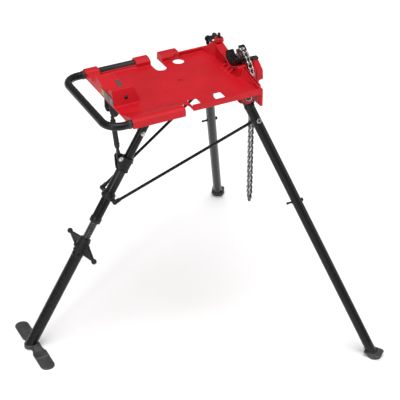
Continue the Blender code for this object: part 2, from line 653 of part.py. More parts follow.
# ---------------------------------------------------------------- front legs
def front_leg(side, word):
    """A front leg in its own frame: local Z up the tube, local Y along the hinge axis."""
    axis = Vector((0, LEG_AXIS.y, side * LEG_AXIS.z))
    up = -Vector((LEG_DIR.x, side * LEG_DIR.y, LEG_DIR.z))
    hinge = Vector((LEG_HINGE.x, side * LEG_HINGE.y, LEG_HINGE.z))
    empty = joint_empty(f"{word}_leg_joint", hinge, frame_from(up, axis))
    inner = -side                       # local Y sign of the side that faces the other leg
    peg_root = Vector((0, 0, -PEG_DROP))

    leg = tube(-0.022, -LEG_LEN + 0.012, LEG_R, LEG_WALL)
    leg = cut(leg,
              cylinder((0, -0.03, -BRACE_PIN_DROP), (0, 0.03, -BRACE_PIN_DROP), 0.0043, sides=16),
              cylinder(peg_root - PEG_DIR * 0.03, peg_root + PEG_DIR * 0.03, PEG_R + GAP, sides=16))
    named(leg, f"{word}_leg_tube", BLACK, empty)

    knuckle = turned([(0.0, 0.0130), (0.0110, 0.0130), (0.0155, 0.0085), (0.0155, -0.0217),
                      (LEG_R - LEG_WALL - GAP, -0.0217), (LEG_R - LEG_WALL - GAP, -0.0500),
                      (0.0, -0.0500)])
    knuckle = cut(knuckle, cylinder((0, -0.03, 0), (0, 0.03, 0), HINGE_BORE_R))
    named(knuckle, f"{word}_leg_knuckle", BLACK, empty)

    pin = united([cylinder((0, -0.0155 * inner, -BRACE_PIN_DROP),
                           (0, 0.0165 * inner, -BRACE_PIN_DROP), 0.0040, sides=16),
                  cylinder((0, -0.0205 * inner, -BRACE_PIN_DROP),
                           (0, -0.0164 * inner, -BRACE_PIN_DROP), 0.0075, sides=16),
                  cylinder((0, -0.0170 * inner, -BRACE_PIN_DROP),
                           (0, -0.0150 * inner, -BRACE_PIN_DROP), 0.0038, sides=16)])
    named(pin, f"{word}_brace_pin", STEEL, empty)

    peg = united([cylinder(peg_root - PEG_DIR * 0.0200, peg_root + PEG_DIR * 0.0330, PEG_R,
                           sides=16),
                  cylinder(peg_root - PEG_DIR * 0.0225, peg_root - PEG_DIR * 0.0190, 0.0060),
                  ball(peg_root + PEG_DIR * 0.0330, 0.0043)])
    named(peg, f"{word}_tool_peg", BLACK, empty)
    front_foot(word, empty, up, hinge)


def front_foot(word, empty, up, hinge):
    """The flat foot plate with its hole, and the round domed pad it stands on."""
    tip = hinge - up * LEG_LEN
    outward = Vector((-up.x, -up.y, 0)).normalized()
    across = Vector((-outward.y, outward.x, 0))
    place = Matrix.Translation((tip.x, tip.y, 0)) @ Matrix(
        (outward, across, Vector((0, 0, 1)))).transposed().to_4x4()
    into_leg = empty.matrix_world.inverted() @ place

    pad = turned([(0.0, FOOT_LOW - GAP), (0.0225, FOOT_LOW - GAP), (0.0243, 0.0100),
                  (0.0250, 0.0060), (0.0240, 0.0020), (0.0215, 0.0), (0.0, 0.0)], 36)
    pad.data.transform(into_leg @ Matrix.Translation((FOOT_PAD_OUT, 0, 0)))
    named(pad, f"{word}_foot_pad", RUBBER, empty)

    sole = plate([(-0.014, -FOOT_HALF_W), (0.0365, -FOOT_HALF_W), (0.043, -0.017),
                  (0.043, 0.017), (0.0365, FOOT_HALF_W), (-0.014, FOOT_HALF_W)],
                 FOOT_LOW, FOOT_TOP)
    foot = cut(sole, cylinder((FOOT_PAD_OUT, 0, 0.0), (FOOT_PAD_OUT, 0, 0.03), 0.0063))
    foot.data.transform(into_leg)
    boot = cylinder((0, 0, -LEG_LEN + 0.0115), (0, 0, -LEG_LEN - 0.030), 0.0160)
    keep = box((-0.2, -0.2, FOOT_LOW + 0.0008), (0.2, 0.2, 0.2))
    keep.data.transform(into_leg)
    boot = combine(boot, keep, "INTERSECT")
    foot = united([foot, boot, cylinder((0, 0, -LEG_LEN + 0.044), (0, 0, -LEG_LEN + 0.006),
                                        LEG_R - LEG_WALL - GAP)])
    named(foot, f"{word}_foot_plate", GREY, empty)


def hinge_bolts():
    """The three bolts that the legs turn on; they stay with the tray."""
    for side, word in ((-1, "right"), (1, "left")):
        axis = Vector((0, LEG_AXIS.y, side * LEG_AXIS.z))
        hinge = Vector((LEG_HINGE.x, side * LEG_HINGE.y, LEG_HINGE.z))
        out = axis * side
        bolt = united([cylinder(hinge - out * 0.0280, hinge + out * 0.0290, 0.0050, sides=16),
                       cylinder(hinge + out * 0.0238, hinge + out * 0.0300, 0.0095),
                       cylinder(hinge - out * 0.0238, hinge - out * 0.0300, 0.0085, sides=6)])
        named(bolt, f"{word}_hinge_bolt", STEEL)
    x, z = TAIL_HINGE.x, TAIL_HINGE.z
    pin = united([cylinder((x, -0.0270, z), (x, 0.0270, z), 0.0050, sides=16),
                  cylinder((x, -0.0280, z), (x, -0.0228, z), 0.0090),
                  cylinder((x, 0.0228, z), (x, 0.0280, z), 0.0090, sides=6)])
    named(pin, "tail_hinge_bolt", STEEL)


# ---------------------------------------------------------------- tail leg
def tail_leg():
    """Upper half of the tail leg; local -Z runs down the tube, local +X faces the vise end."""
    empty = joint_empty("tail_leg_joint", TAIL_HINGE, frame_from(-TAIL_DIR, (0, 1, 0)))

    upper = tube(-0.020, -EAR_DROP - 0.040, TAIL_UPPER_R, TAIL_WALL)
    cross = -0.118
    upper = cut(upper, cylinder((0, -0.03, cross), (0, 0.03, cross), 0.0033, sides=16))
    named(upper, "tail_upper_tube", BLACK, empty)

    knuckle = turned([(0.0, 0.0120), (0.0100, 0.0120), (0.0135, 0.0080), (0.0135, -0.0197),
                      (TAIL_UPPER_R - TAIL_WALL - GAP, -0.0197),
                      (TAIL_UPPER_R - TAIL_WALL - GAP, -0.0450), (0.0, -0.0450)])
    knuckle = cut(knuckle, cylinder((0, -0.03, 0), (0, 0.03, 0), HINGE_BORE_R))
    named(knuckle, "tail_knuckle", BLACK, empty)

    bolt = united([cylinder((0, -0.0190, cross), (0, 0.0190, cross), 0.0030, sides=16),
                   cylinder((0, -0.0200, cross), (0, -0.0144, cross), 0.0065, sides=6),
                   cylinder((0, 0.0144, cross), (0, 0.0200, cross), 0.0065, sides=6)])
    named(bolt, "tail_cross_bolt", STEEL, empty)

    outer = tube(-EAR_DROP - 0.004, -OUTER_END_DROP, TAIL_OUTER_R, TAIL_OUTER_R - TAIL_UPPER_R - GAP)
    named(outer, "tail_outer_tube", BLACK, empty)
    strut_ears(empty)
    rod_bracket(empty)

    screw = united([cylinder((0, 0, -EAR_DROP - 0.0420), (0, 0, -OUTER_END_DROP + 0.0005),
                             TAIL_UPPER_R - GAP),
                    cylinder((0, 0, -OUTER_END_DROP + 0.002), (0, 0, -0.7600), SCREW_R)])
    named(screw, "levelling_screw", DARK_STEEL, empty)
    return empty


def strut_ears(empty):
    """The collar at the top of the outer tube, with two ears for the strut's pin."""
    collar = cylinder((0, 0, -EAR_DROP - 0.040), (0, 0, -EAR_DROP + 0.010), 0.0205)
    ears = []
    for y in (-0.0155, 0.0105):
        outline = [(0.0, -EAR_DROP - 0.038), (0.0, -EAR_DROP + 0.006),
                   *arc((-STRUT_OFFSET, -EAR_DROP), 0.0100, 75, 215, 7),
                   (-0.0190, -EAR_DROP - 0.038)]
        ears.append(plate(outline, y, y + 0.0050, "XZ"))
    collar = united([collar, *ears])
    low = -EAR_DROP - 0.045
    collar = cut(collar,
                 cylinder((0, 0, low), (0, 0, -EAR_DROP - 0.004 + GAP), TAIL_OUTER_R + GAP),
                 cylinder((0, 0, low), (0, 0, -EAR_DROP + 0.02), TAIL_UPPER_R + GAP),
                 cylinder((-STRUT_OFFSET, -0.03, -EAR_DROP), (-STRUT_OFFSET, 0.03, -EAR_DROP),
                          0.0043, sides=16))
    named(collar, "strut_ears", BLACK, empty)
    pin = united([cylinder((-STRUT_OFFSET, -0.0170, -EAR_DROP),
                           (-STRUT_OFFSET, 0.0170, -EAR_DROP), 0.0040, sides=16),
                  cylinder((-STRUT_OFFSET, -0.0190, -EAR_DROP),
                           (-STRUT_OFFSET, -0.0158, -EAR_DROP), 0.0068, sides=16),
                  cylinder((-STRUT_OFFSET, 0.0158, -EAR_DROP),
                           (-STRUT_OFFSET, 0.0190, -EAR_DROP), 0.0068, sides=16)])
    named(pin, "strut_pin", STEEL, empty)


def rod_bracket(empty):
    """The clamp ring with two arms that carry the brace rods' inner ends."""
    z = -BRACKET_DROP
    ring = cylinder((0, 0, z - 0.010), (0, 0, z + 0.010), 0.0205)
    arms = hull([(x, y, z + dz) for x, y in ((-0.006, -0.041), (0.006, -0.041), (-0.010, 0.0),
                                             (0.010, 0.0), (-0.006, 0.041), (0.006, 0.041))
                 for dz in (-0.006, 0.006)])
    body = cut(united([ring, arms]), cylinder((0, 0, z - 0.02), (0, 0, z + 0.02),
                                              TAIL_OUTER_R + GAP))
    named(body, "rod_bracket", BLACK, empty)


def lower_leg(parent):
    """The telescoping lower tube with the foot pedal; it slides along the leg."""
    start = TAIL_HINGE + TAIL_DIR * HUB_BOTTOM_DROP
    empty = joint_empty("lower_leg_joint", start, frame_from(-TAIL_DIR, (0, 1, 0)), parent)
    bottom = -(LOWER_END_DROP - HUB_BOTTOM_DROP)
    named(tube(-GAP, bottom, TAIL_LOWER_R, LOWER_WALL), "tail_lower_tube", BLACK, empty)
    foot_pedal(empty)


def foot_pedal(empty):
    """The stamped T-foot: two rounded paddles on a neck, with a boss inside the tube."""
    tip = TAIL_HINGE + TAIL_DIR * LOWER_END_DROP
    into_leg = empty.matrix_world.inverted() @ Matrix.Translation((PEDAL_X, 0, 0))
    half_neck, half_paddle = 0.0175, 0.0240
    reach, shoulder, corner = 0.1380, 0.0440, 0.021
    quarter = [(half_neck, 0.030), (half_paddle, shoulder),
               *arc((half_paddle - corner, reach - corner), corner, 0, 90, 5)]
    outline = quarter + [(-x, y) for x, y in reversed(quarter)]
    outline += [(-x, -y) for x, y in quarter] + [(x, -y) for x, y in reversed(quarter)]
    sheet = bevelled(plate(outline, 0.0, 0.0056), 0.0018)
    socket_top = Vector((tip.x - PEDAL_X, 0, tip.z))
    boss = cylinder(socket_top - TAIL_DIR * 0.040, socket_top + TAIL_DIR * 0.012,
                    TAIL_LOWER_R - LOWER_WALL - GAP)
    collar = cylinder(socket_top + TAIL_DIR * GAP, socket_top + TAIL_DIR * 0.030, 0.0200)
    rib = hull([(-0.0172, y, 0.0030) for y in (-0.036, 0.036)]
               + [(0.0172, y, 0.0030) for y in (-0.036, 0.036)]
               + [(-0.0080, y, 0.0230) for y in (-0.006, 0.006)]
               + [(0.0150, y, 0.0230) for y in (-0.006, 0.006)])
    pedal = united([sheet, rib, boss, collar])
    pedal = cut(pedal, box((-0.2, -0.2, -0.1), (0.2, 0.2, 0.0)))
    pedal.data.transform(into_leg)
    named(pedal, "foot_pedal", GREY, empty)


def handwheel(parent):
    """The levelling nut with its two ball-ended arms."""
    top = HUB_BOTTOM_DROP - HUB_TOP_DROP
    start = TAIL_HINGE + TAIL_DIR * HUB_BOTTOM_DROP
    empty = joint_empty("handwheel_joint", start, frame_from(-TAIL_DIR, (0, 1, 0)), parent)
    bore = SCREW_R + 0.0006
    hub = turned([(0.0, top), (0.0170, top), (0.0200, top - 0.004), (0.0205, 0.030),
                  (0.0205, 0.010), (0.0215, 0.004), (0.0215, GAP), (0.0, GAP)])
    arms = hull([(x, y, z) for x, y, z in
                 ((-0.004, -WHEEL_ARM + 0.004, 0.018), (0.004, -WHEEL_ARM + 0.004, 0.018),
                  (-0.004, -WHEEL_ARM + 0.004, 0.027), (0.004, -WHEEL_ARM + 0.004, 0.027),
                  (-0.007, 0.0, 0.008), (0.007, 0.0, 0.008), (-0.007, 0.0, 0.040),
                  (0.007, 0.0, 0.040), (-0.004, WHEEL_ARM - 0.004, 0.018),
                  (0.004, WHEEL_ARM - 0.004, 0.018), (-0.004, WHEEL_ARM - 0.004, 0.027),
                  (0.004, WHEEL_ARM - 0.004, 0.027))])
    nubs = cylinder((-0.029, 0, 0.022), (0.029, 0, 0.022), 0.0060, sides=16)
    balls = [ball((0, side * WHEEL_ARM, 0.0225), 0.0088) for side in (-1, 1)]
    wheel = cut(united([hub, arms, nubs, *balls]),
                cylinder((0, 0, -0.01), (0, 0, top + 0.01), bore))
    named(wheel, "levelling_handwheel", BLACK, empty)


# ---------------------------------------------------------------- strut and brace rods
def folding_strut(parent):
    ear = TAIL_HINGE + TAIL_DIR * EAR_DROP + frame_from(-TAIL_DIR, (0, 1, 0)) @ Vector(
        (-STRUT_OFFSET, 0, 0))
    up = Vector((math.sin(STRUT_TILT), 0, math.cos(STRUT_TILT)))
    empty = joint_empty("strut_joint", ear, frame_from(up, (0, 1, 0)), parent)
    crimp = [(-0.0060, 0.030), (0.0060, 0.030), (0.0072, 0.010), *arc((0, 0), 0.0085, 10, -190, 11),
             (-0.0072, 0.010)]
    eye = plate(crimp[::-1], -0.0042, 0.0042, "XZ")
    body = cylinder((0, 0, 0.022), (0, 0, BARREL_TOP), STRUT_R)
    barrel = cut(united([body, eye]), cylinder((0, -0.02, 0), (0, 0.02, 0), 0.0043, sides=16))
    named(barrel, "strut_barrel", BLACK, empty)
    rod = turned([(0.0, STRUT_LEN), (0.0025, STRUT_LEN), (STRUT_ROD_R, STRUT_LEN - 0.002),
                  (STRUT_ROD_R, BARREL_TOP + GAP), (0.0, BARREL_TOP + GAP)], 16)
    named(rod, "strut_rod", STEEL, empty)


def brace_rod(side, word, parent):
    """A long rod with an eye at each end, from the tail leg's bracket to a front leg."""
    start = TAIL_HINGE + TAIL_DIR * BRACKET_DROP + Vector((0, side * ROD_BRACKET_Y, 0))
    hinge = Vector((LEG_HINGE.x, side * LEG_HINGE.y, LEG_HINGE.z))
    down = Vector((LEG_DIR.x, side * LEG_DIR.y, LEG_DIR.z))
    inward = Vector((0, LEG_AXIS.y, side * LEG_AXIS.z)) * -side
    end = hinge + down * BRACE_PIN_DROP + inward * ROD_END_OUT
    empty = joint_empty(f"{word}_rod_joint", start, parent=parent)
    along = (end - start).normalized()
    reach = (end - start).length
    shaft = cylinder(along * 0.004, along * (reach - 0.004), ROD_R, sides=16)
    eye = cylinder(end - start - inward * 0.0055, end - start + inward * 0.0055, 0.0095, sides=20)
    head = cylinder(end - start + inward * 0.0050, end - start + inward * 0.0080, 0.0060, sides=16)
    rod = united([shaft, ball((0, 0, 0), 0.0085), eye, head])
    named(rod, f"{word}_brace_rod", BLACK, empty)


# ---------------------------------------------------------------- assembly
def build():
    tray_casting()
    carry_handle()
    rest_pad()
    blank_label()
    tail_bracket()
    vise()
    tension_screw()
    tension_crank()
    chain_over_jaws()
    hanging_chain()
    front_leg(-1, "right")
    front_leg(1, "left")
    hinge_bolts()
    leg = tail_leg()
    lower_leg(leg)
    handwheel(leg)
    folding_strut(leg)
    brace_rod(-1, "right", leg)
    brace_rod(1, "left", leg)
    bpy.context.view_layer.update()


build()
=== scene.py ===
"""Looks of the folding tripod pipe stand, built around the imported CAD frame.

Metres, +Z up, floor at z = 0, the vise end is +X. A piece is modelled in its own body's frame,
with Z along the tube it belongs to, and is placed by the joints and the CAD nodes.
"""

import json
import math

import bmesh
import bpy
import numpy as np
from mathutils import Matrix, Vector


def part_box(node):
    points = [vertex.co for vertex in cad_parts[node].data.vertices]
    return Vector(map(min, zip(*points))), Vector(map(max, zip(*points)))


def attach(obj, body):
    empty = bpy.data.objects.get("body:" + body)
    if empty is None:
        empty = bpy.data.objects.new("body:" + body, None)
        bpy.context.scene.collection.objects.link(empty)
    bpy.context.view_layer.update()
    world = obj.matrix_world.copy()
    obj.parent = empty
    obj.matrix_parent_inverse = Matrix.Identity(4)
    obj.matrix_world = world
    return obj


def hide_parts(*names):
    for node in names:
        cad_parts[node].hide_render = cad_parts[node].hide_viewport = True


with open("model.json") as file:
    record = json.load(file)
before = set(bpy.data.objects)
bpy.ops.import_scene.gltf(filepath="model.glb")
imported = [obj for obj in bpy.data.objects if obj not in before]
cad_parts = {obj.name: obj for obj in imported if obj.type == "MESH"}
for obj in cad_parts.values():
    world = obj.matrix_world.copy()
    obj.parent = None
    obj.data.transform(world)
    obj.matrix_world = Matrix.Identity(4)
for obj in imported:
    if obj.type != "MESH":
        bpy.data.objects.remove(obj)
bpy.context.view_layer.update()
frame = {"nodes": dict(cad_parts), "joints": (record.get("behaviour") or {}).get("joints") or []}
NODES = frame["nodes"]
JOINTS = {joint["name"]: joint for joint in frame["joints"]}
SCENE = bpy.context.scene
X, Y, Z = Vector((1, 0, 0)), Vector((0, 1, 0)), Vector((0, 0, 1))
at = Matrix.Translation
LIE_ON_Y = Matrix.Rotation(-math.pi / 2, 4, "X")    # turns a part's Z to Y
GAP = 0.0003                # between pieces that would else share a face
SEAM = 0.000003             # points of one skin closer than this are one point


def rectangle(low_u, low_v, high_u, high_v):
    return [(low_u, low_v), (high_u, low_v), (high_u, high_v), (low_u, high_v)]


def pivot(joint):
    return Vector(JOINTS[joint]["pos_m"])


# ---------------------------------------------------------------- camera, floor and lights
def look(location, forward, up):
    """Placement of a camera or lamp that looks along forward."""
    forward = Vector(forward).normalized()
    right = forward.cross(Vector(up)).normalized()
    turn = Matrix((right, right.cross(forward), -forward)).transposed()
    return at(location) @ turn.to_4x4()


def add_camera():
    data = bpy.data.cameras.new("view")
    data.lens, data.sensor_width = 121.75, 36.0
    camera = bpy.data.objects.new("view", data)
    SCENE.collection.objects.link(camera)
    camera.matrix_world = look((-1.5936, -3.3835, 2.8634), (0.3808, 0.7472, -0.5448), Z)
    SCENE.camera = camera


def add_lamp(name, kind, energy, placed, **settings):
    data = bpy.data.lights.new(name, kind)
    data.energy = energy
    for setting, value in settings.items():
        setattr(data, setting, value)
    lamp = bpy.data.objects.new(name, data)
    SCENE.collection.objects.link(lamp)
    lamp.matrix_world = placed


def soft_light(name, location, size, watts):
    """A disk lamp that shines on the middle of the object."""
    towards = Vector((0.0, 0.0, 0.5)) - Vector(location)
    add_lamp(name, "AREA", watts, look(location, towards, Y), shape="DISK", size=size)


def wide_sun(name, direction, strength, spread):
    """Even light over the whole floor, soft-edged like a large overhead panel."""
    add_lamp(name, "SUN", strength, look((0, 0, 3), direction, Y), angle=math.radians(spread))


def add_stage():
    SCENE.view_settings.view_transform = "Standard"
    world = bpy.data.worlds.new("studio")
    SCENE.world = world
    world.use_nodes = True
    background = world.node_tree.nodes["Background"]
    background.inputs["Color"].default_value = (1.0, 1.0, 1.0, 1.0)
    background.inputs["Strength"].default_value = 0.36
    mesh = bpy.data.meshes.new("studio_floor")
    half = 40.0
    corners = rectangle(-half, -half, half, half)
    mesh.from_pydata([(x, y, 0) for x, y in corners], [], [(0, 1, 2, 3)])
    floor = bpy.data.objects.new("studio_floor", mesh)
    SCENE.collection.objects.link(floor)
    paper = bpy.data.materials.new("studio_paper")
    paper.use_nodes = True
    shader = paper.node_tree.nodes["Principled BSDF"]
    shader.inputs["Base Color"].default_value = (0.96, 0.96, 0.96, 1.0)
    shader.inputs["Roughness"].default_value = 0.8
    shader.inputs["Specular IOR Level"].default_value = 0.1
    mesh.materials.append(paper)
    wide_sun("overhead", (0.1, 0.22, -1.0), 2.7, 55)
    soft_light("front", (-3.4, -1.6, 1.7), 1.6, 14)
    soft_light("side", (2.9, -2.2, 1.5), 1.8, 12)
    soft_light("glint", (-3.3, -2.6, 2.2), 0.45, 26)


add_camera()
add_stage()


# ---------------------------------------------------------------- materials
class Graph:
    """A procedural material in the making: a few node chains into one Principled shader."""

    def __init__(self, name, colour, roughness, metallic=0.0, stretch=(1, 1, 1), ior_level=0.5):
        self.material = bpy.data.materials.new(name)
        self.material.use_nodes = True
        self.tree = self.material.node_tree
        self.shader = self.tree.nodes["Principled BSDF"]
        self.feed(self.shader, {"Base Color": colour, "Roughness": roughness,
                                "Metallic": metallic, "Specular IOR Level": ior_level})
        self.where = self.node("TexCoord", "Object")
        own = self.node("Attribute", "Vector", attribute_name="own")
        self.place = self.node("Mapping", "Vector", {"Scale": stretch, "Vector": own})

    def feed(self, node, inputs):
        """Sets inputs, by name or number, to a number, a colour or another node's output."""
        for name, value in inputs.items():
            socket = node.inputs[name]
            if isinstance(value, bpy.types.NodeSocket):
                self.tree.links.new(value, socket)
            else:
                socket.default_value = (*value, 1.0) if socket.type == "RGBA" else value

    def node(self, kind, output, inputs=None, **settings):
        """A new node's output."""
        made = self.tree.nodes.new("ShaderNode" + kind)
        for setting, value in settings.items():
            setattr(made, setting, value)
        self.feed(made, inputs or {})
        return made.outputs[output]

    def noise(self, scale, detail=3.0, stretched=False):
        """Cloudy values around 0.5."""
        return self.node("TexNoise", "Fac", {"Scale": scale, "Detail": detail,
                                             "Vector": self.place if stretched else self.where})

    def remap(self, value, low, high, out_low=0.0, out_high=1.0):
        return self.node("MapRange", "Result", {"From Min": low, "From Max": high,
                                                "To Min": out_low, "To Max": out_high,
                                                "Value": value})

    def edge(self, low, high):
        """1 on outside edges (low below high) or in inside corners (low above high)."""
        return self.remap(self.node("NewGeometry", "Pointiness"), low, high)

    def product(self, first, second):
        return self.node("Math", "Value", {0: first, 1: second}, operation="MULTIPLY")

    def mix(self, factor, first, second):
        """A colour between two colours; either may be a chain made before."""
        return self.node("Mix", 2, {"Factor": factor, 6: first, 7: second}, data_type="RGBA")

    def mottle(self, scale, detail, low, high, first, second):
        """Clouds of two colours."""
        return self.mix(self.remap(self.noise(scale, detail), low, high), first, second)

    def finished(self, colour, gloss, *layers, stretched=False):
        """The material, with its colour chain, uneven gloss and bumps.

        gloss is (noise scale, detail, lowest, highest roughness), and a layer of bumps is
        (noise scale, detail, depth in metres).
        """
        scale, detail, low, high = gloss
        rough = self.remap(self.noise(scale, detail), 0.3, 0.7, low, high)
        normal = None
        for scale, detail, depth in layers:
            inputs = {"Distance": depth, "Height": self.noise(scale, detail, stretched)}
            if normal:
                inputs["Normal"] = normal
            normal = self.node("Bump", "Normal", inputs)
        self.feed(self.shader, {"Base Color": colour, "Roughness": rough, "Normal": normal})
        return self.material


def red_casting():
    """Powder-coated cast aluminium: orange peel, a slow mottle, lighter outside edges (wear and
    painted highlight), darker inside corners (painted shade, with some dust).
    """
    g = Graph("red_casting", (0.43, 0.004, 0.012), 0.36, ior_level=0.26)
    base = g.mottle(9.0, 4.0, 0.35, 0.65, (0.53, 0.005, 0.013), (0.465, 0.003, 0.0095))
    # inside corners darkened: painted shade, with some dust
    dulled_tone = g.mix(g.edge(0.485, 0.44), base, (0.23, 0.0015, 0.005))
    # outside edges lightened in patches: partly wear, partly painted highlight
    wear_and_highlight = g.product(g.edge(0.53, 0.59), g.remap(g.noise(60.0), 0.45, 0.62))
    return g.finished(g.mix(wear_and_highlight, dulled_tone, (0.62, 0.045, 0.055)), (35.0, 5.0, 0.38, 0.52),
                      (1100.0, 2.0, 0.00005), (120.0, 2.0, 0.00012))


def black_coat(name="black_coat", base=(0.0048, 0.0048, 0.0054), low=0.2, high=0.32):
    """Satin black powder coat on drawn tube: fine grain, faint lengthwise streaks, rare scuffs."""
    g = Graph(name, base, 0.36, stretch=(1, 1, 0.05), ior_level=0.22)
    streak = g.remap(g.noise(160.0, 3.0, stretched=True), 0.35, 0.65)
    coat = g.mix(streak, base, tuple(1.7 * channel for channel in base))
    scuffed = g.mottle(26.0, 6.0, 0.66, 0.74, coat, tuple(2.6 * channel for channel in base))
    return g.finished(g.mix(g.edge(0.54, 0.6), scuffed, (0.04, 0.04, 0.042)),
                      (70.0, 4.0, low, high), (1500.0, 2.0, 0.00004), (260.0, 1.0, 0.00003))


def grey_coat():
    """Rough grey coat on the plates that touch the ground, scraped at their edges."""
    g = Graph("grey_coat", (0.03, 0.03, 0.031), 0.55)
    base = g.mottle(45.0, 5.0, 0.35, 0.65, (0.022, 0.022, 0.023), (0.042, 0.042, 0.043))
    scraped = g.product(g.edge(0.53, 0.57), g.remap(g.noise(140.0), 0.4, 0.6))
    return g.finished(g.mix(scraped, base, (0.16, 0.16, 0.16)), (90.0, 5.0, 0.42, 0.64),
                      (900.0, 3.0, 0.00008), (150.0, 3.0, 0.00015))


def steel(name, light, dark, low, high, grain=420.0):
    """Plated or oiled steel: patches of tone, fine turning marks, uneven gloss, and painted shade
    that darkens inside corners.
    """
    g = Graph(name, light, low, 1.0, stretch=(1, 1, 9))
    tone = g.mottle(110.0, 5.0, 0.32, 0.68, light, dark)
    # inside corners and thread roots darkened towards a deeper tone: painted shade
    return g.finished(g.mix(g.edge(0.48, 0.43), tone, tuple(0.35 * channel for channel in dark)),
                      (240.0, 4.0, low, high), (grain, 2.0, 0.00003), stretched=True)


def black_rubber():
    """Moulded black rubber or plastic: matt, pebbled, a little grey where it is handled."""
    g = Graph("black_plastic", (0.02, 0.02, 0.02), 0.7)
    return g.finished(g.mottle(55.0, 4.0, 0.4, 0.7, (0.007, 0.007, 0.007),
                               (0.016, 0.016, 0.0155)), (150.0, 3.0, 0.58, 0.8),
                      (1300.0, 2.0, 0.00009))


def grip_pad():
    """The grey-black pad pressed into the pipe rest."""
    g = Graph("grip_pad", (0.085, 0.09, 0.085), 0.6)
    return g.finished(g.mottle(130.0, 4.0, 0.35, 0.65, (0.045, 0.049, 0.045),
                               (0.08, 0.084, 0.078)), (200.0, 3.0, 0.5, 0.7),
                      (1000.0, 2.0, 0.0001))


def film(name, colour):
    """Printed label film: nearly even, with dust and a soft sheen."""
    g = Graph(name, colour, 0.4)
    dulled_tone = tuple(0.7 * channel + 0.03 for channel in colour)
    return g.finished(g.mottle(90.0, 4.0, 0.4, 0.7, colour, dulled_tone), (140.0, 3.0, 0.34, 0.52),
                      (300.0, 2.0, 0.00004))


RED = red_casting()
BLACK = black_coat()
BLACK_PART = black_coat("black_part", (0.008, 0.008, 0.0086), 0.34, 0.52)
GREY = grey_coat()
ZINC = steel("bright_steel", (0.66, 0.66, 0.67), (0.46, 0.46, 0.47), 0.2, 0.38)
DARK = steel("dark_steel", (0.07, 0.07, 0.074), (0.034, 0.034, 0.037), 0.32, 0.5)
JAW = steel("jaw_iron", (0.052, 0.052, 0.055), (0.024, 0.024, 0.026), 0.4, 0.6, 900.0)
CHAIN = steel("chain_steel", (0.34, 0.34, 0.35), (0.15, 0.15, 0.16), 0.24, 0.42)
RUBBER = black_rubber()
PAD = grip_pad()
SCREW = steel("screw_steel", (0.15, 0.15, 0.155), (0.06, 0.06, 0.063), 0.16, 0.28)
CHAIN_DARK = steel("chain_plate_steel", (0.16, 0.16, 0.165), (0.07, 0.07, 0.072), 0.3, 0.48)
LABEL_BASE = film("label_base", (0.06, 0.062, 0.065))
LABEL_YELLOW = film("label_yellow", (0.34, 0.3, 0.03))
LABEL_BLUE = film("label_blue", (0.065, 0.075, 0.095))
LABEL_GREY = film("label_grey", (0.12, 0.125, 0.13))


# ---------------------------------------------------------------- shape helpers
def mesh_of(bm):
    mesh = bpy.data.meshes.new("part")
    bm.to_mesh(mesh)
    bm.free()
    return mesh


def outward_mesh(bm):
    """The mesh of a closed solid, its faces turned outwards."""
    bmesh.ops.recalc_face_normals(bm, faces=bm.faces)
    return mesh_of(bm)


def evaluated(obj):
    """The mesh an object has with its modifiers or curve depth applied; the object goes."""
    bpy.context.view_layer.update()
    graph = bpy.context.evaluated_depsgraph_get()
    mesh = bpy.data.meshes.new_from_object(obj.evaluated_get(graph))
    bpy.data.objects.remove(obj, do_unlink=True)
    return mesh


def linked(data, name="tool"):
    obj = bpy.data.objects.new(name, data)
    SCENE.collection.objects.link(obj)
    return obj


def moved(mesh, matrix):
    mesh.transform(matrix)
    return mesh


def shifted(mesh, x=0.0, y=0.0, z=0.0):
    return moved(mesh, at((x, y, z)))


def joined(*meshes):
    """Several meshes in one, side by side."""
    bm = bmesh.new()
    for mesh in meshes:
        bm.from_mesh(mesh)
    return mesh_of(bm)


def placement(origin, z_axis, y_axis):
    """The frame at origin with that Z axis, and Y as near to y_axis as it can be."""
    z = Vector(z_axis).normalized()
    x = Vector(y_axis).cross(z).normalized()
    return at(origin) @ Matrix((x, z.cross(x), z)).transposed().to_4x4()


def run_of(node):
    """Top and bottom of a long CAD node's centre line."""
    co = np.array([v.co for v in NODES[node].data.vertices], float)
    middle = co.mean(0)
    axis = np.linalg.svd(co - middle, full_matrices=False)[2][0]
    axis = axis if axis[2] > 0 else -axis
    along = (co - middle) @ axis
    ends = [co[along > along.max() - 0.0012].mean(0), co[along < along.min() + 0.0012].mean(0)]
    return Vector(ends[0]), Vector(ends[1])


def ends_in(place, node):
    """Top and bottom of a long CAD node's centre line, in the frame place."""
    return [place.inverted() @ end for end in run_of(node)]


def fillet(points, radius, steps=3, closed=True):
    """An outline with each corner rounded, by as much of radius as its sides allow."""
    made, count = [], len(points)
    for i, corner in enumerate(points):
        corner = Vector(corner)
        if not closed and i in (0, count - 1):
            made.append(tuple(corner))
            continue
        before = Vector(points[i - 1]) - corner
        after = Vector(points[(i + 1) % count]) - corner
        reach = min(radius, 0.45 * before.length, 0.45 * after.length)
        start, end = corner + before.normalized() * reach, corner + after.normalized() * reach
        for step in range(steps + 1):
            t = step / steps
            made.append(tuple(start.lerp(corner, t).lerp(corner.lerp(end, t), t)))
    return made


def arc(centre, radius, start, end, count):
    steps = [math.radians(start + (end - start) * i / (count - 1)) for i in range(count)]
    return [(centre[0] + radius * math.cos(a), centre[1] + radius * math.sin(a)) for a in steps]


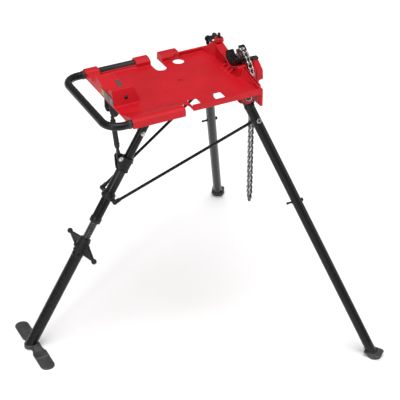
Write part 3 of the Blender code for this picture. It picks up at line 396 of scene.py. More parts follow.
def lathe(profile, sides=48, soft=0.0, ring=False):
    """A solid turned about Z. The profile runs down its outside; ring closes it on itself."""
    if soft:
        profile = fillet(profile, soft, 2, closed=ring)
    bm = bmesh.new()
    rows = []
    for radius, z in profile:
        if radius < 1e-7:
            rows.append([bm.verts.new((0, 0, z))])
            continue
        rows.append([bm.verts.new((radius * math.cos(a), radius * math.sin(a), z))
                     for a in (2 * math.pi * i / sides for i in range(sides))])
    pairs = list(zip(rows, rows[1:])) + ([(rows[-1], rows[0])] if ring else [])
    for upper, lower in pairs:
        for i in range(sides):
            j = (i + 1) % sides
            corners = [upper[i % len(upper)], lower[i % len(lower)], lower[j % len(lower)],
                       upper[j % len(upper)]]
            unique = list(dict.fromkeys(corners))
            if len(unique) > 2:
                bm.faces.new(unique)
    return outward_mesh(bm)


def curve_mesh(outlines, closed, **settings):
    """The skin of a curve with depth, its rows of points merged at the seams."""
    curve = bpy.data.curves.new("outline", "CURVE")
    for setting, value in settings.items():
        setattr(curve, setting, value)
    for outline in outlines:
        spline = curve.splines.new("POLY")
        spline.points.add(len(outline) - 1)
        for point, place in zip(spline.points, outline):
            point.co = (*place, 1.0)
        spline.use_cyclic_u = closed
    bm = bmesh.new()
    bm.from_mesh(evaluated(linked(curve)))
    bmesh.ops.remove_doubles(bm, verts=bm.verts, dist=SEAM)
    return bm


def slab(outlines, low, high, soft=0.0006, plane="XY", steps=2):
    """A plate between low and high with rounded rims; outlines after the first are holes."""
    bm = curve_mesh([[(u, v, 0.0) for u, v in outline] for outline in outlines], True,
                    dimensions="2D", fill_mode="BOTH", extrude=(high - low) / 2 - soft,
                    bevel_depth=soft, offset=-soft, bevel_resolution=steps)
    middle = (low + high) / 2
    turn = {"XY": at((0, 0, middle)),
            "XZ": at((0, middle, 0)) @ Matrix.Rotation(math.pi / 2, 4, "X"),
            "YZ": at((middle, 0, 0))
            @ Matrix(((0, 0, 1, 0), (1, 0, 0, 0), (0, 1, 0, 0), (0, 0, 0, 1)))}
    return moved(outward_mesh(bm), turn[plane])


def sweep(points, radius, sides=20, closed=False):
    """A round bar along points, its ends closed."""
    return mesh_of(curve_mesh([points], closed, dimensions="3D", bevel_depth=radius,
                              bevel_resolution=sides // 4 - 1, use_fill_caps=not closed))


def block(low, high):
    bm = bmesh.new()
    low, high = Vector(low), Vector(high)
    bmesh.ops.create_cube(bm, size=1.0,
                          matrix=at((low + high) / 2) @ Matrix.Diagonal((*(high - low), 1.0)))
    return mesh_of(bm)


def hull(points):
    bm = bmesh.new()
    for point in points:
        bm.verts.new(point)
    bmesh.ops.convex_hull(bm, input=bm.verts)
    bmesh.ops.delete(bm, geom=[v for v in bm.verts if not v.link_faces], context="VERTS")
    return outward_mesh(bm)


def bar(start, end, radius, radius_end=None, sides=32):
    """A plain round bar or cone between two points."""
    run = Vector(end) - Vector(start)
    last = radius if radius_end is None else radius_end
    profile = [(0, 0), (radius, 0), (last, run.length), (0, run.length)]
    return along(lathe(profile, sides), start, run)


def along(mesh, start, direction):
    """Stands a mesh made on Z at start, with its Z along direction."""
    turn = Vector(direction).to_track_quat("Z", "Y").to_matrix().to_4x4()
    return moved(mesh, at(start) @ turn)


def cast(meshes, voxel, rounds, cutters=(), faces=1.0):
    """One cast or forged skin around several solids: merged, drilled and rounded over."""
    obj = linked(joined(*meshes))
    for cutter in cutters:
        tool = linked(cutter)
        cut = obj.modifiers.new("cut", "BOOLEAN")
        cut.operation, cut.solver, cut.object = "DIFFERENCE", "EXACT", tool
        cut.use_self = len(meshes) > 1
        mesh = evaluated(obj)
        bpy.data.objects.remove(tool, do_unlink=True)
        obj = linked(mesh)
    skin = obj.modifiers.new("skin", "REMESH")
    skin.mode, skin.voxel_size = "VOXEL", voxel
    ease = obj.modifiers.new("ease", "SMOOTH")
    ease.factor, ease.iterations = 0.5, rounds
    if faces < 1.0:
        thin = obj.modifiers.new("thin", "DECIMATE")
        thin.ratio = faces
    return evaluated(obj)


def cad_copy(node):
    return NODES[node].data.copy()


def piece(name, mesh, finish, body, node=None, place=None, sharp=38):
    """Puts a finished mesh in the scene on its body, for the CAD node it stands for.

    It stands in its body's frame, and takes its finish's slot, unless the call says otherwise.
    The attribute own keeps its own coordinates, Z along its tube, for the grain of the coats.
    """
    place = place or BODY_FRAMES.get(body)
    mesh.name = name
    mesh.materials.clear()
    mesh.materials.append(finish)
    own = mesh.attributes.new("own", "FLOAT_VECTOR", "POINT")
    own.data.foreach_set("vector", [c for vertex in mesh.vertices for c in vertex.co])
    if place is not None:
        mesh.transform(place)
    mesh.shade_smooth()
    mesh.set_sharp_from_angle(angle=math.radians(sharp))
    obj = linked(mesh, name)
    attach(obj, body)
    if node:
        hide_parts(node)


# ---------------------------------------------------------------- fastener helpers
def hex_head(flats, height, chamfer=0.0008):
    corner = flats / math.sqrt(3)
    return lathe([(0, height), (corner - 1.6 * chamfer, height), (corner, height - chamfer),
                  (corner, 0.0), (0, 0)], 6)


def washer(inner, outer, thickness):
    return lathe([(inner, thickness), (outer, thickness), (outer, 0), (inner, 0)], 40,
                 thickness * 0.3, ring=True)


def button_head(radius, height, socket):
    """A round screw head with a hexagon socket sunk in it."""
    dome = [(socket + (radius - socket) * math.sin(a), height * (0.25 + 0.75 * math.cos(a)))
            for a in (math.pi / 2 * i / 6 for i in range(7))]
    floor = height * 0.35
    return lathe([(0.0, floor), (socket, floor), *dome, (radius, 0.0), (0.0, 0.0)], 48)


def ball(radius, rows, sides):
    steps = [math.pi / 2 - math.pi * i / rows for i in range(rows + 1)]
    return lathe([(radius * math.cos(a), radius * math.sin(a)) for a in steps], sides)


def on_washer(start, direction, ring, head, lift):
    """A washer (inner, outer, thickness) and a head lift above start, along direction."""
    return place_stack(start, direction, (washer(*ring), 0.0), (head, lift))


def place_stack(start, direction, *parts):
    """Parts as (mesh, height above start), all stood along direction, as one mesh."""
    return joined(*[along(shifted(mesh, z=height), start, direction) for mesh, height in parts])


# ---------------------------------------------------------------- frames of the bodies
def leg_frame(word):
    joint = JOINTS[f"{word}_leg_fold"]
    top, bottom = run_of(f"{word}_leg_tube")
    return placement(joint["pos_m"], top - bottom, joint["axis"])


TAIL_UP = -Vector(JOINTS["leg_levelling"]["axis"]).normalized()
TAIL = placement(pivot("tail_leg_fold"), TAIL_UP, Y)
LOWER = placement(pivot("handwheel_turn"), TAIL_UP, Y)
STRUT = placement(pivot("strut_swing"), run_of("strut_barrel")[0] - pivot("strut_swing"), Y)
CRANK = at(pivot("crank_turn"))
LEG = {word: leg_frame(word) for word in ("right", "left")}
BODY_FRAMES = {
    "tail_leg": TAIL, "lower_leg": LOWER, "handwheel": LOWER, "strut": STRUT,
    "tension_crank": CRANK, "right_leg": LEG["right"], "left_leg": LEG["left"],
}


# ---------------------------------------------------------------- tray
TRAY_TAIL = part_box("tray_casting")[0].x
FLOOR_TOP = 0.858


def tray():
    """The casting with its corners rounded over, and the small ribs that stiffen it."""
    far_bead = rectangle(-0.146, 0.15, -0.016, 0.1545)
    extras = [slab([fillet(far_bead, 0.002)], FLOOR_TOP - 0.001, FLOOR_TOP + 0.0035),
              bar((0.26, 0.118, 0.9055), (0.26, 0.118, 0.911), 0.0158),
              bar((0.069, 0.012, FLOOR_TOP - 0.001), (0.069, 0.012, FLOOR_TOP + 0.0012),
                  0.0115, 0.01)]
    for x in (0.2568, 0.2654):
        extras.append(bar((x, -0.048, 0.8848), (x, -0.149, 0.8699), 0.0019, 0.0019, 24))
    for x in (-0.125, -0.085, -0.045):
        extras.append(hull([(x + dx, y, z) for dx in (-0.002, 0.002)
                            for y, z in ((-0.104, FLOOR_TOP - 0.001), (-0.16, FLOOR_TOP - 0.001),
                                         (-0.16, 0.8765), (-0.152, 0.8735))]))
    dimple = bar((0.069, 0.012, FLOOR_TOP - 0.0042), (0.069, 0.012, FLOOR_TOP + 0.01), 0.0078)
    skin = cast([cad_copy("tray_casting"), *extras], 0.0014, 4, [dimple], faces=0.35)
    piece("tray_skin", skin, RED, "tray", "tray_casting", sharp=60)


def handle():
    """The bent tube, with the rings it is swaged against at the casting."""
    low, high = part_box("carry_handle")
    radius = (high.z - low.z) / 2
    half, z, bend, end = high.y - radius, (high.z + low.z) / 2, 0.05, low.x + radius
    route = [(-0.03, -half), *arc((end + bend, -half + bend), bend, 270, 180, 18),
             *arc((end + bend, half - bend), bend, 180, 90, 18), (high.x, half)]
    tube = sweep([(x, y, z) for x, y in route], radius, 40)
    ring = [(radius + 0.0002, 0.0), (radius + 0.0016, 0.0012), (radius + 0.0016, 0.009),
            (radius + 0.0002, 0.0102)]
    rings = [along(lathe(ring[::-1], 40, ring=True), (TRAY_TAIL - 0.0088, side * half, z), X)
             for side in (-1, 1)]
    piece("handle_tube", joined(tube, *rings), BLACK, "tray", "carry_handle")


def rest_parts():
    """What is fixed to the pipe rest: wear pad, side screw and the blank label."""
    low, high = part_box("pipe_rest_pad")
    slope = math.atan2(0.903 - 0.885, 0.078 - 0.01)
    half_x = (high.x - low.x) / 2 - 0.0002
    half_y = (high.y - low.y) / 2 / math.cos(slope) - 0.0006
    outline = fillet(rectangle(-half_x, -half_y, half_x, half_y), 0.002)
    ribs = [slab([fillet(rectangle(-half_x + 0.002, y - 0.0011, half_x - 0.002, y + 0.0011),
                         0.0005)], 0.0008, 0.0019, 0.0003)
            for y in np.linspace(-half_y + 0.003, half_y - 0.003, 8)]
    place = at((low + high) / 2) @ Matrix.Rotation(slope, 4, "X")
    piece("rest_pad", joined(slab([outline], -0.0018, 0.0014, 0.0005), *ribs), PAD, "tray",
          "pipe_rest_pad", place=place)
    face = Vector((0, -0.055, 0.018)).normalized()
    start = Vector((-0.1472, -0.0487, 0.8802))      # on the rest's near slope
    head = on_washer(start, face, (0.003, 0.0062, 0.001), button_head(0.0048, 0.0026, 0.002),
                     0.0008)
    piece("rest_screw", head, DARK, "tray")
    x = TRAY_TAIL - 0.0004
    base = fillet(rectangle(-0.0515, 0.8605, 0.0355, 0.8832), 0.002)
    piece("label_film", slab([base], x - 0.0005, x, 0.0001, "YZ"), LABEL_BASE, "tray",
          "blank_label")
    for word, start_y, end_y, finish in (("first", 0.0125, 0.034, LABEL_YELLOW),
                                         ("second", -0.0225, 0.0085, LABEL_BLUE),
                                         ("third", -0.0505, -0.0265, LABEL_GREY)):
        outline = fillet(rectangle(start_y, 0.8618, end_y, 0.8822), 0.0015)
        piece(f"label_{word}", slab([outline], x - 0.0008, x - 0.0005, 0.0001, "YZ"), finish,
              "tray")


def tail_bracket():
    low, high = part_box("tail_bracket")
    side = [(low.x, high.z), (low.x, 0.823), (-0.185, 0.806), (-0.17, 0.802), (-0.16, 0.81),
            (high.x, high.z)]
    cheeks = [slab([fillet(side, 0.004)], y, y + 0.003, 0.0006, "XZ")
              for y in (low.y, high.y - 0.003)]
    roof = slab([fillet(rectangle(low.x, low.y, high.x, high.y), 0.002)], high.z - 0.0028, high.z,
                0.0005)
    heads = [along(hex_head(0.01, 0.004), (-0.174, side * (high.y - 0.0002), 0.842), Y * side)
             for side in (-1, 1)]
    piece("bracket_saddle", joined(roof, *cheeks), BLACK_PART, "tray", "tail_bracket")
    piece("bracket_bolts", joined(*heads), DARK, "tray")


# ---------------------------------------------------------------- vise
def serrated(start, end, teeth, depth):
    """Saw teeth along the flank from start to end, cut into the side on its left."""
    start, end = Vector(start), Vector(end)
    step = (end - start) / teeth
    inward = Vector((-step.y, step.x)).normalized() * depth
    made = []
    for i in range(teeth):
        made += [tuple(start + step * i), tuple(start + step * (i + 0.5) + inward)]
    return made + [tuple(end)]


def jaw(name, node, flank_teeth, low_points, far_top, near_top, valley_z):
    """A V-jaw of three toothed plates side by side, so that grooves part its teeth."""
    low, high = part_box(node)
    third = (high.x - low.x) / 3
    teeth = [*serrated(far_top, (0.004, valley_z), flank_teeth, 0.0013),
             *serrated((-0.004, valley_z), near_top, flank_teeth, 0.0013)]
    outline = low_points + teeth
    plates = [slab([outline], low.x + third * i + 0.0005, low.x + third * (i + 1) - 0.0005,
                   0.0004, "YZ", 1) for i in range(3)]
    middle = Vector((0.0, (valley_z + 0.876) / 2))
    core = [tuple(middle.lerp(Vector(point), 0.93)) for point in outline]
    plates.append(slab([core], low.x + 0.0006, high.x - 0.0006, 0.0003, "YZ", 1))
    piece(name, joined(*plates), JAW, "tray", node, sharp=25)


def vise():
    seat, jaw_face_x = 0.8763, 0.2379
    inner_low = [(-0.037, 0.912), (-0.032, seat + 0.0116), (-0.006, seat), (0.006, seat),
                 (0.032, seat + 0.0116), (0.037, 0.912)]
    jaw("jaw_inner", "inner_jaw", 8, inner_low, (0.03, 0.914), (-0.03, 0.914), 0.889)
    outer_low = [(-0.0236, 0.904), (-0.0236, 0.8836), (-0.006, seat), (0.006, seat),
                 (0.044, seat + 0.017), (0.046, 0.914)]
    jaw("jaw_outer", "outer_jaw", 8, outer_low, (0.036, 0.915), (-0.022, 0.904), 0.892)
    piece("yoke_skin", cast([cad_copy("chain_yoke")], 0.0009, 5), RED, "tray", "chain_yoke",
          sharp=60)
    low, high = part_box("horn_cap")
    cap = [(low.x, low.y), (high.x - 0.002, low.y), (high.x, low.y + 0.004),
           (high.x, high.y - 0.004), (high.x - 0.002, high.y), (low.x, high.y)]
    inset = rectangle(low.x + 0.004, low.y + 0.004, high.x - 0.005, high.y - 0.004)
    piece("horn_cap_top", joined(slab([fillet(cap, 0.004)], low.z, high.z - 0.0006, 0.0022),
                                 slab([fillet(inset, 0.003)], high.z - 0.002, high.z, 0.0006)),
          RUBBER, "tray", "horn_cap")
    for word in ("near", "far"):
        low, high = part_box(f"{word}_jaw_screw")
        start = Vector((jaw_face_x, (low.y + high.y) / 2, (low.z + high.z) / 2))
        head = on_washer(start, -X, (0.002, 0.0056, 0.001), button_head(0.0044, 0.0028, 0.0021),
                         0.0008)
        piece(f"{word}_jaw_screw_head", head, DARK, "tray", f"{word}_jaw_screw")
    low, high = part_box("tension_screw")
    centre, length = (low + high) / 2, high.z - low.z
    screw = thread(0.005, 0.0043, 0.0015, length - 0.002, 24)
    piece("tension_screw_thread", moved(screw, at((centre.x, centre.y, low.z))), DARK, "tray",
          "tension_screw")
    nut = joined(shifted(hex_head(0.0165, 0.0055), z=0.0012), washer(0.0052, 0.0115, 0.0012))
    piece("tension_nut", nut, DARK, "tray", place=at((centre.x, centre.y, low.z + 0.0008)))


def thread(crest, root, pitch, length, sides=48):
    """A screw thread standing on z = 0: one skin whose radius follows the helix."""
    rows = max(int(length / pitch * 10), 2)
    bm = bmesh.new()
    grid = []
    for row in range(rows + 1):
        z = length * row / rows
        ease = min(1.0, (length - z) / pitch, z / pitch + 0.3)
        ring = []
        for i in range(sides):
            angle = 2 * math.pi * i / sides
            phase = (z / pitch - i / sides) % 1.0
            height = min(1.0, max(0.0, 1.9 - abs(phase - 0.5) * 5.2))
            radius = root + (crest - root) * height * max(ease, 0.0)
            ring.append(bm.verts.new((radius * math.cos(angle), radius * math.sin(angle), z)))
        grid.append(ring)
    for lower, upper in zip(grid, grid[1:]):
        for i in range(sides):
            j = (i + 1) % sides
            bm.faces.new((lower[i], lower[j], upper[j], upper[i]))
    bm.faces.new(grid[-1])
    bm.faces.new(grid[0][::-1])
    return mesh_of(bm)


def crank():
    """A bent lever on the spindle, with a fluted knob at its long end."""
    end_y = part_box("crank_shaft")[1].y - CRANK.translation.y
    knob_low, knob_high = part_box("crank_knob")
    reach = (knob_low.x + knob_high.x) / 2 - CRANK.translation.x
    shaft = lathe([(0, end_y), (0.0042, end_y), (0.005, end_y - 0.001), (0.005, -0.014),
                   (0, -0.014)], 32)
    piece("crank_spindle", shaft, DARK, "tension_crank", "crank_shaft", place=CRANK @ LIE_ON_Y)
    hub = along(lathe([(0, 0.009), (0.009, 0.009), (0.0105, 0.0075), (0.0105, 0.0015),
                       (0.0095, 0.0), (0, 0.0)], 40), (0, 0.0255, 0), Y)
    long_arm = [(0.0, 0.008), *arc((reach, 0), 0.007, 80, -80, 9), (0.0, -0.008)]
    short_arm = [(0.0075, 0.0), *arc((0, -0.018), 0.0055, 0, -180, 9), (-0.0075, 0.0)]
    arms = [slab([outline], 0.026, 0.033, 0.0016, "XZ") for outline in (long_arm, short_arm)]
    piece("crank_lever", cast([hub, *arms], 0.0006, 4), BLACK_PART, "tension_crank", "crank_arm")
    knob = [(0.0, 0.0165), (0.005, 0.0163), (0.0074, 0.0142), (0.0085, 0.009), (0.0078, 0.004),
            (0.0058, 0.0002), (0.0, 0.0)]
    grip = fluted(lathe(fillet(knob, 0.002, 2, closed=False), 72), 9, 0.0006, 0.0052)
    piece("crank_grip", grip, RUBBER, "tension_crank", "crank_knob",
          place=CRANK @ at((reach, 0.0333, 0)) @ LIE_ON_Y)


def fluted(mesh, count, depth, inside):
    """Shallow flutes around a turned grip, none within the inside radius."""
    for vertex in mesh.vertices:
        radius = math.hypot(vertex.co.x, vertex.co.y)
        if radius > inside:
            wave = 0.5 - 0.5 * math.cos(count * math.atan2(vertex.co.y, vertex.co.x))
            scale = 1 - depth * wave * min(1.0, (radius - inside) / 0.002) / radius
            vertex.co.x, vertex.co.y = vertex.co.x * scale, vertex.co.y * scale
    return mesh


# ---------------------------------------------------------------- chain
CHAIN_TOP = pivot("chain_upper_swing")
LINKS = 8                                   # links in each free length
PITCH = (CHAIN_TOP.z - JOINTS["chain_middle_swing"]["pos_m"][2]) / LINKS


def side_plate(low, high):
    """A figure-eight chain plate from the pin at the origin down to the next pin."""
    eye, waist = 0.0079, 0.0054
    outline = [*arc((0, 0), eye, -28, 208, 17), (-waist, -0.42 * PITCH), (-waist, -0.58 * PITCH),
               *arc((0, -PITCH), eye, 152, 388, 17), (waist, -0.58 * PITCH),
               (waist, -0.42 * PITCH)]
    return slab([outline], low, high, 0.0004, "YZ", 1)


def chain_pin(reach):
    rivet = [(0, reach), (0.0021, reach), (0.003, reach - 0.0006), (0.003, 0.004),
             (0.0044, 0.0036)]
    profile = rivet + [(radius, -x) for radius, x in reversed(rivet)]
    return moved(lathe(profile, 20), Matrix.Rotation(math.pi / 2, 4, "Y"))


def chain_run(name, pins, body, node, first_outer=True, last_pin=False, bright=False):
    """Plates and pins along a list of pin places, from each to the next."""
    plates, rivets = [], []
    for index, (start, end) in enumerate(zip(pins, pins[1:])):
        outer = (index % 2 == 0) == first_outer
        near, far = (0.0058, 0.0074) if outer else (0.004, 0.0056)
        link = joined(side_plate(near, far), side_plate(-far, -near))
        turn = math.atan2(end.y - start.y, start.z - end.z)
        place = at(start) @ Matrix.Rotation(turn, 4, "X")
        plates.append(moved(link, place))
        rivets.append(moved(chain_pin(0.0083), at(start)))
    if last_pin:
        rivets.append(moved(chain_pin(0.0083), at(pins[-1])))
    plate_finish, pin_finish = (ZINC, CHAIN) if bright else (CHAIN_DARK, ZINC)
    piece(f"{name}_plates", joined(*plates), plate_finish, body, node, sharp=30)
    piece(f"{name}_pins", joined(*rivets), pin_finish, body, sharp=30)


def smooth_line(points, steps=12):
    """Points along a Catmull-Rom curve through the given ones."""
    made = []
    count = len(points)
    for i in range(count - 1):
        a, b, c, d = (Vector(points[max(i - 1, 0)]), Vector(points[i]), Vector(points[i + 1]),
                      Vector(points[min(i + 2, count - 1)]))
        for step in range(steps):
            t = step / steps
            made.append(0.5 * (2 * b + (c - a) * t + (2 * a - 5 * b + 4 * c - d) * t * t
                               + (3 * b - a - 3 * c + d) * t ** 3))
    return made + [Vector(points[-1])]


def chain():
    x = CHAIN_TOP.x
    over = [(x, CHAIN_TOP.y, CHAIN_TOP.z), (x, -0.06, 0.881), (x, -0.046, 0.8995),
            (x, -0.029, 0.915), (x, -0.01, 0.9215), (x, 0.007, 0.92), (x, 0.018, 0.908),
            (x, 0.02, 0.89), (x, 0.02, 0.87)]
    pins = [Vector(over[0])]
    for point in smooth_line(over, 40):
        if (point - pins[-1]).length >= PITCH:
            pins.append(pins[-1] + (point - pins[-1]).normalized() * PITCH)
    chain_run("chain_top", pins[::-1], "tray", "chain_over_jaws", first_outer=len(pins) % 2 == 1,
              bright=True)
    anchor = bar(pins[-1] - X * 0.011, pins[-1] + X * 0.0112, 0.0034, sides=20)
    piece("chain_anchor_pin", anchor, DARK, "tray")
    for index, body in enumerate(("chain_upper", "chain_middle", "chain_lower")):
        start = CHAIN_TOP - Z * PITCH * LINKS * index
        run = [start - Z * PITCH * i for i in range(LINKS + 1)]
        chain_run(f"{body}_run", run, body, f"chain_length_{index + 1}", last_pin=index == 2)
    last = CHAIN_TOP - Z * PITCH * LINKS * 3
    outline = [*arc((0, 0), 0.0056, 0, 180, 13), *arc((0, -0.013), 0.0058, 180, 360, 13)]
    eye = arc((0, -0.013), 0.0026, 0, 345, 16)
    piece("chain_tail", slab([outline, eye], -0.0034, 0.0034, 0.0008, "YZ"), CHAIN_DARK,
          "chain_lower", "chain_end_link", place=at(last))


# ---------------------------------------------------------------- front legs
BRACE_PIN_Z = -0.083        # on the leg's own line, from its hinge
CLEVIS_HALF = 0.0237        # from the middle of a front hinge to the face its bolt stands on
EYE_OFFSET = 0.0235         # from the middle of a front leg to the middle of its rod's eye


def tube_skin(top, bottom, radius, swage=0.0):
    """A tube's outer skin from top down to bottom, its rims rounded, with a swaged ring."""
    profile = [(0, top), (radius - 0.0012, top), (radius, top - 0.0012)]
    if swage:
        profile += [(radius + swage, top - 0.003), (radius + swage, top - 0.012),
                    (radius, top - 0.0145)]
    rows = 14
    profile += [(radius, top - 0.02 + (bottom + 0.0012 - top + 0.02) * i / rows)
                for i in range(rows + 1)]
    return lathe(profile + [(radius - 0.0012, bottom), (0, bottom)], 64)


def trimmed(mesh, point, normal):
    """Cuts away what lies past the plane and closes the cut."""
    bm = bmesh.new()
    bm.from_mesh(mesh)
    cut = bmesh.ops.bisect_plane(bm, geom=bm.verts[:] + bm.edges[:] + bm.faces[:], plane_co=point,
                                 plane_no=normal, clear_outer=True)
    rim = [e for e in cut["geom_cut"] if isinstance(e, bmesh.types.BMEdge)]
    bmesh.ops.holes_fill(bm, edges=rim)
    return mesh_of(bm)


def front_leg(word):
    body, place = f"{word}_leg", LEG[word]
    inner = 1 if word == "right" else -1
    up = place.to_3x3() @ Z
    top, bottom = ends_in(place, f"{word}_leg_tube")
    radius = 0.016
    low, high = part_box(f"{word}_foot_pad")
    outward = Vector((-up.x, -up.y, 0)).normalized()
    turned = Matrix((outward, Z.cross(outward), Z)).transposed().to_4x4()
    foot = at(((low.x + high.x) / 2, (low.y + high.y) / 2, 0)) @ turned
    plate_top = high.z + 0.0045

    into_leg = place.inverted() @ foot
    level = into_leg @ Vector((0, 0, plate_top))
    down = into_leg.to_3x3() @ -Z
    tube = trimmed(tube_skin(top.z, bottom.z - 0.03, radius, 0.0012), level, down)
    piece(f"{word}_leg_skin", tube, BLACK, body, f"{word}_leg_tube")

    knuckle = [(0.0, 0.013), (0.006, 0.0129), (0.011, 0.0118), (0.0142, 0.0092), (0.0155, 0.005),
               (0.0155, -0.0219), (0.0, -0.0219)]
    eye = [along(lathe([(0.0054, 0.0008), (0.009, 0.0008), (0.0096, 0.0), (0.0054, 0.0)],
                       36, ring=True), (0, side * 0.0156, 0), Y * side) for side in (-1, 1)]
    piece(f"{word}_leg_head", joined(lathe(knuckle, 56), *eye), BLACK_PART, body,
          f"{word}_leg_knuckle")

    out = -Y * inner
    start = out * 0.016 + Z * BRACE_PIN_Z
    ring = lathe([(0.0046, 0.0036), (0.0072, 0.0036), (0.008, 0.0026), (0.008, 0.0),
                  (0.0046, 0.0)], 40, ring=True)
    piece(f"{word}_pin_ring", along(ring, start, out), ZINC, body, f"{word}_brace_pin")
    core = lathe([(0, 0.0022), (0.003, 0.0019), (0.0045, 0.0008), (0.0045, -0.031), (0, -0.031)],
                 32)
    piece(f"{word}_pin_core", along(core, start, out), DARK, body)

    peg = [(0, 0.0373), (0.0024, 0.0368), (0.0041, 0.0347), (0.0043, 0.0328), (0.0035, 0.03),
           (0.0033, 0.0285), (0.0033, 0.02), (0.0046, 0.0178), (0.0062, 0.0166), (0.0062, 0.014),
           (0.0033, 0.013), (0.0033, -0.014), (0.0062, -0.015), (0.0062, -0.0172),
           (0.0048, -0.019), (0.006, -0.0197), (0.0062, -0.0218), (0.0054, -0.0226), (0, -0.0228)]
    piece(f"{word}_peg", along(lathe(peg, 32), (0, 0, -0.375), (-0.96, 0, 0.28)), BLACK, body,
          f"{word}_tool_peg")
    front_foot(word, foot, plate_top, foot.inverted() @ place)


def front_foot(word, foot, plate_top, from_leg):
    """The stamped foot plate, the weld around the tube, and the two-tone pad below: a grey dome
    over a dark rubber tread, whose dark band at the floor is partly painted contact shadow.
    """
    body = f"{word}_leg"
    axis = (from_leg.to_3x3() @ Z).normalized()
    at_leg = from_leg.translation
    centre = at_leg - axis * ((at_leg.z - plate_top) / axis.z)
    plate_low = plate_top - 0.0042
    outline = [(-0.031, -0.0235), (0.0195, -0.0235), (0.026, -0.017), (0.026, 0.017),
               (0.0195, 0.0235), (-0.031, 0.0235)]
    hole = arc((0, 0), 0.0063, 0, 352, 40)
    plate = slab([fillet(outline, 0.007, 6), hole], plate_low, plate_top, 0.0009)
    lip = shifted(lathe([(0.0064, 0.0008), (0.0082, 0.0008), (0.0092, 0.0), (0.0064, 0.0)], 40,
                        ring=True), z=plate_top)
    gusset = slab([[(centre.x - 0.026, plate_top - 0.001), (centre.x - 0.01, plate_top - 0.001),
                    (centre.x - 0.02, plate_top + 0.012)]], -0.0022, 0.0022, 0.0005, "XZ")
    piece(f"{word}_foot_sole", joined(plate, lip), GREY, body, f"{word}_foot_plate", place=foot)
    radius = 0.0166
    bead = []
    for i in range(48):
        angle = 2 * math.pi * i / 48
        ripple = 1 + 0.01 * math.sin(12 * angle)
        bead.append((centre.x + radius / axis.z * math.cos(angle) * ripple,
                     radius * math.sin(angle) * ripple, plate_top + 0.0006))
    piece(f"{word}_foot_weld", joined(sweep(bead, 0.0026, 16, closed=True), gusset), BLACK_PART,
          body, place=foot)
    dome = [(0, plate_low - GAP), (0.0205, plate_low - GAP), (0.0232, 0.0116), (0.0246, 0.0085),
            (0.0249, 0.006), (0, 0.006)]
    piece(f"{word}_foot_dome", lathe(dome, 64, 0.001), PAD, body, f"{word}_foot_pad", place=foot)
    # dark rubber tread at the floor: partly the pad's own colour, partly painted contact shadow
    tread = lathe([(0, 0.0062), (0.0243, 0.0062), (0.025, 0.005), (0.0244, 0.0022), (0.0215, 0.0),
                   (0.0, 0.0)], 96)
    piece(f"{word}_foot_tread", fluted(tread, 24, 0.0009, 0.02), RUBBER, body, place=foot)


def hinge_bolts():
    for side, word in ((-1, "right"), (1, "left")):
        axis = Vector(JOINTS[f"{word}_leg_fold"]["axis"])
        out = axis * (side if axis.y > 0 else -side)
        hinge = pivot(f"{word}_leg_fold")
        bright = on_washer(hinge + out * CLEVIS_HALF, out, (0.006, 0.0118, 0.0016),
                           hex_head(0.0046, 0.0012), 0.0044)
        shank = bar(hinge - out * 0.028, hinge + out * 0.025, 0.005, sides=24)
        nut = on_washer(hinge - out * CLEVIS_HALF, -out, (0.005, 0.0105, 0.0012),
                        hex_head(0.015, 0.0062), 0.0012)
        piece(f"{word}_bolt_washer", joined(bright, shank, nut), ZINC, "tray",
              f"{word}_hinge_bolt")
        head = place_stack(hinge + out * CLEVIS_HALF, out,
                           (button_head(0.0088, 0.0056, 0.003), 0.0014))
        piece(f"{word}_bolt_head", head, DARK, "tray")
    hinge = pivot("tail_leg_fold")
    reach = 0.0228
    head = on_washer(hinge - Y * reach, -Y, (0.005, 0.0105, 0.0012),
                     button_head(0.0084, 0.004, 0.003), 0.001)
    nut = on_washer(hinge + Y * reach, Y, (0.005, 0.0105, 0.0012), hex_head(0.0145, 0.004), 0.0012)
    shank = bar(hinge - Y * 0.024, hinge + Y * 0.027, 0.005, sides=24)
    piece("tail_bolt", joined(head, nut, shank), ZINC, "tray", "tail_hinge_bolt")


# ---------------------------------------------------------------- tail leg
EAR_Z, BRACKET_Z, EAR_X = -0.219, -0.352, -0.032
PEDAL_X = (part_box("foot_pedal")[0].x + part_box("foot_pedal")[1].x) / 2


def tail_tubes():
    """The upper tube, its hinge head and cross bolt, and the outer tube that it stands in."""
    top, bottom = ends_in(TAIL, "tail_upper_tube")
    piece("tail_upper_skin", tube_skin(top.z, bottom.z, 0.014, 0.001), BLACK, "tail_leg",
          "tail_upper_tube")
    knuckle = [(0.0, 0.012), (0.0055, 0.0119), (0.0098, 0.0108), (0.0124, 0.0086),
               (0.0135, 0.005), (0.0135, -0.0199), (0.0, -0.0199)]
    piece("tail_leg_head", lathe(knuckle, 56), BLACK_PART, "tail_leg", "tail_knuckle")
    cross = -0.118
    heads = [on_washer(Y * side * 0.0142 + Z * cross, Y * side, (0.003, 0.0078, 0.001),
                       hex_head(0.011, 0.0046), 0.001) for side in (-1, 1)]
    piece("tail_cross_heads", joined(*heads), ZINC, "tail_leg", "tail_cross_bolt")
    top, bottom = ends_in(TAIL, "tail_outer_tube")
    radius = 0.0165
    low = bottom.z
    profile = [(0.0143, top.z), (radius, top.z), (radius, low + 0.02), (0.0182, low + 0.0176),
               (0.019, low + 0.016), (0.019, low + 0.0024), (0.0182, low + 0.001),
               (0.014, low + 0.0006)]
    lugs = [along(lathe([(0, 0.0028), (0.0034, 0.0028), (0.0042, 0.0018), (0.0042, 0.0),
                         (0, 0.0)], 28), Y * side * 0.0184 + Z * (low + 0.0092), Y * side)
            for side in (-1, 1)]
    piece("tail_outer_skin", joined(lathe(profile, 64, ring=True), *lugs), BLACK, "tail_leg",
          "tail_outer_tube")


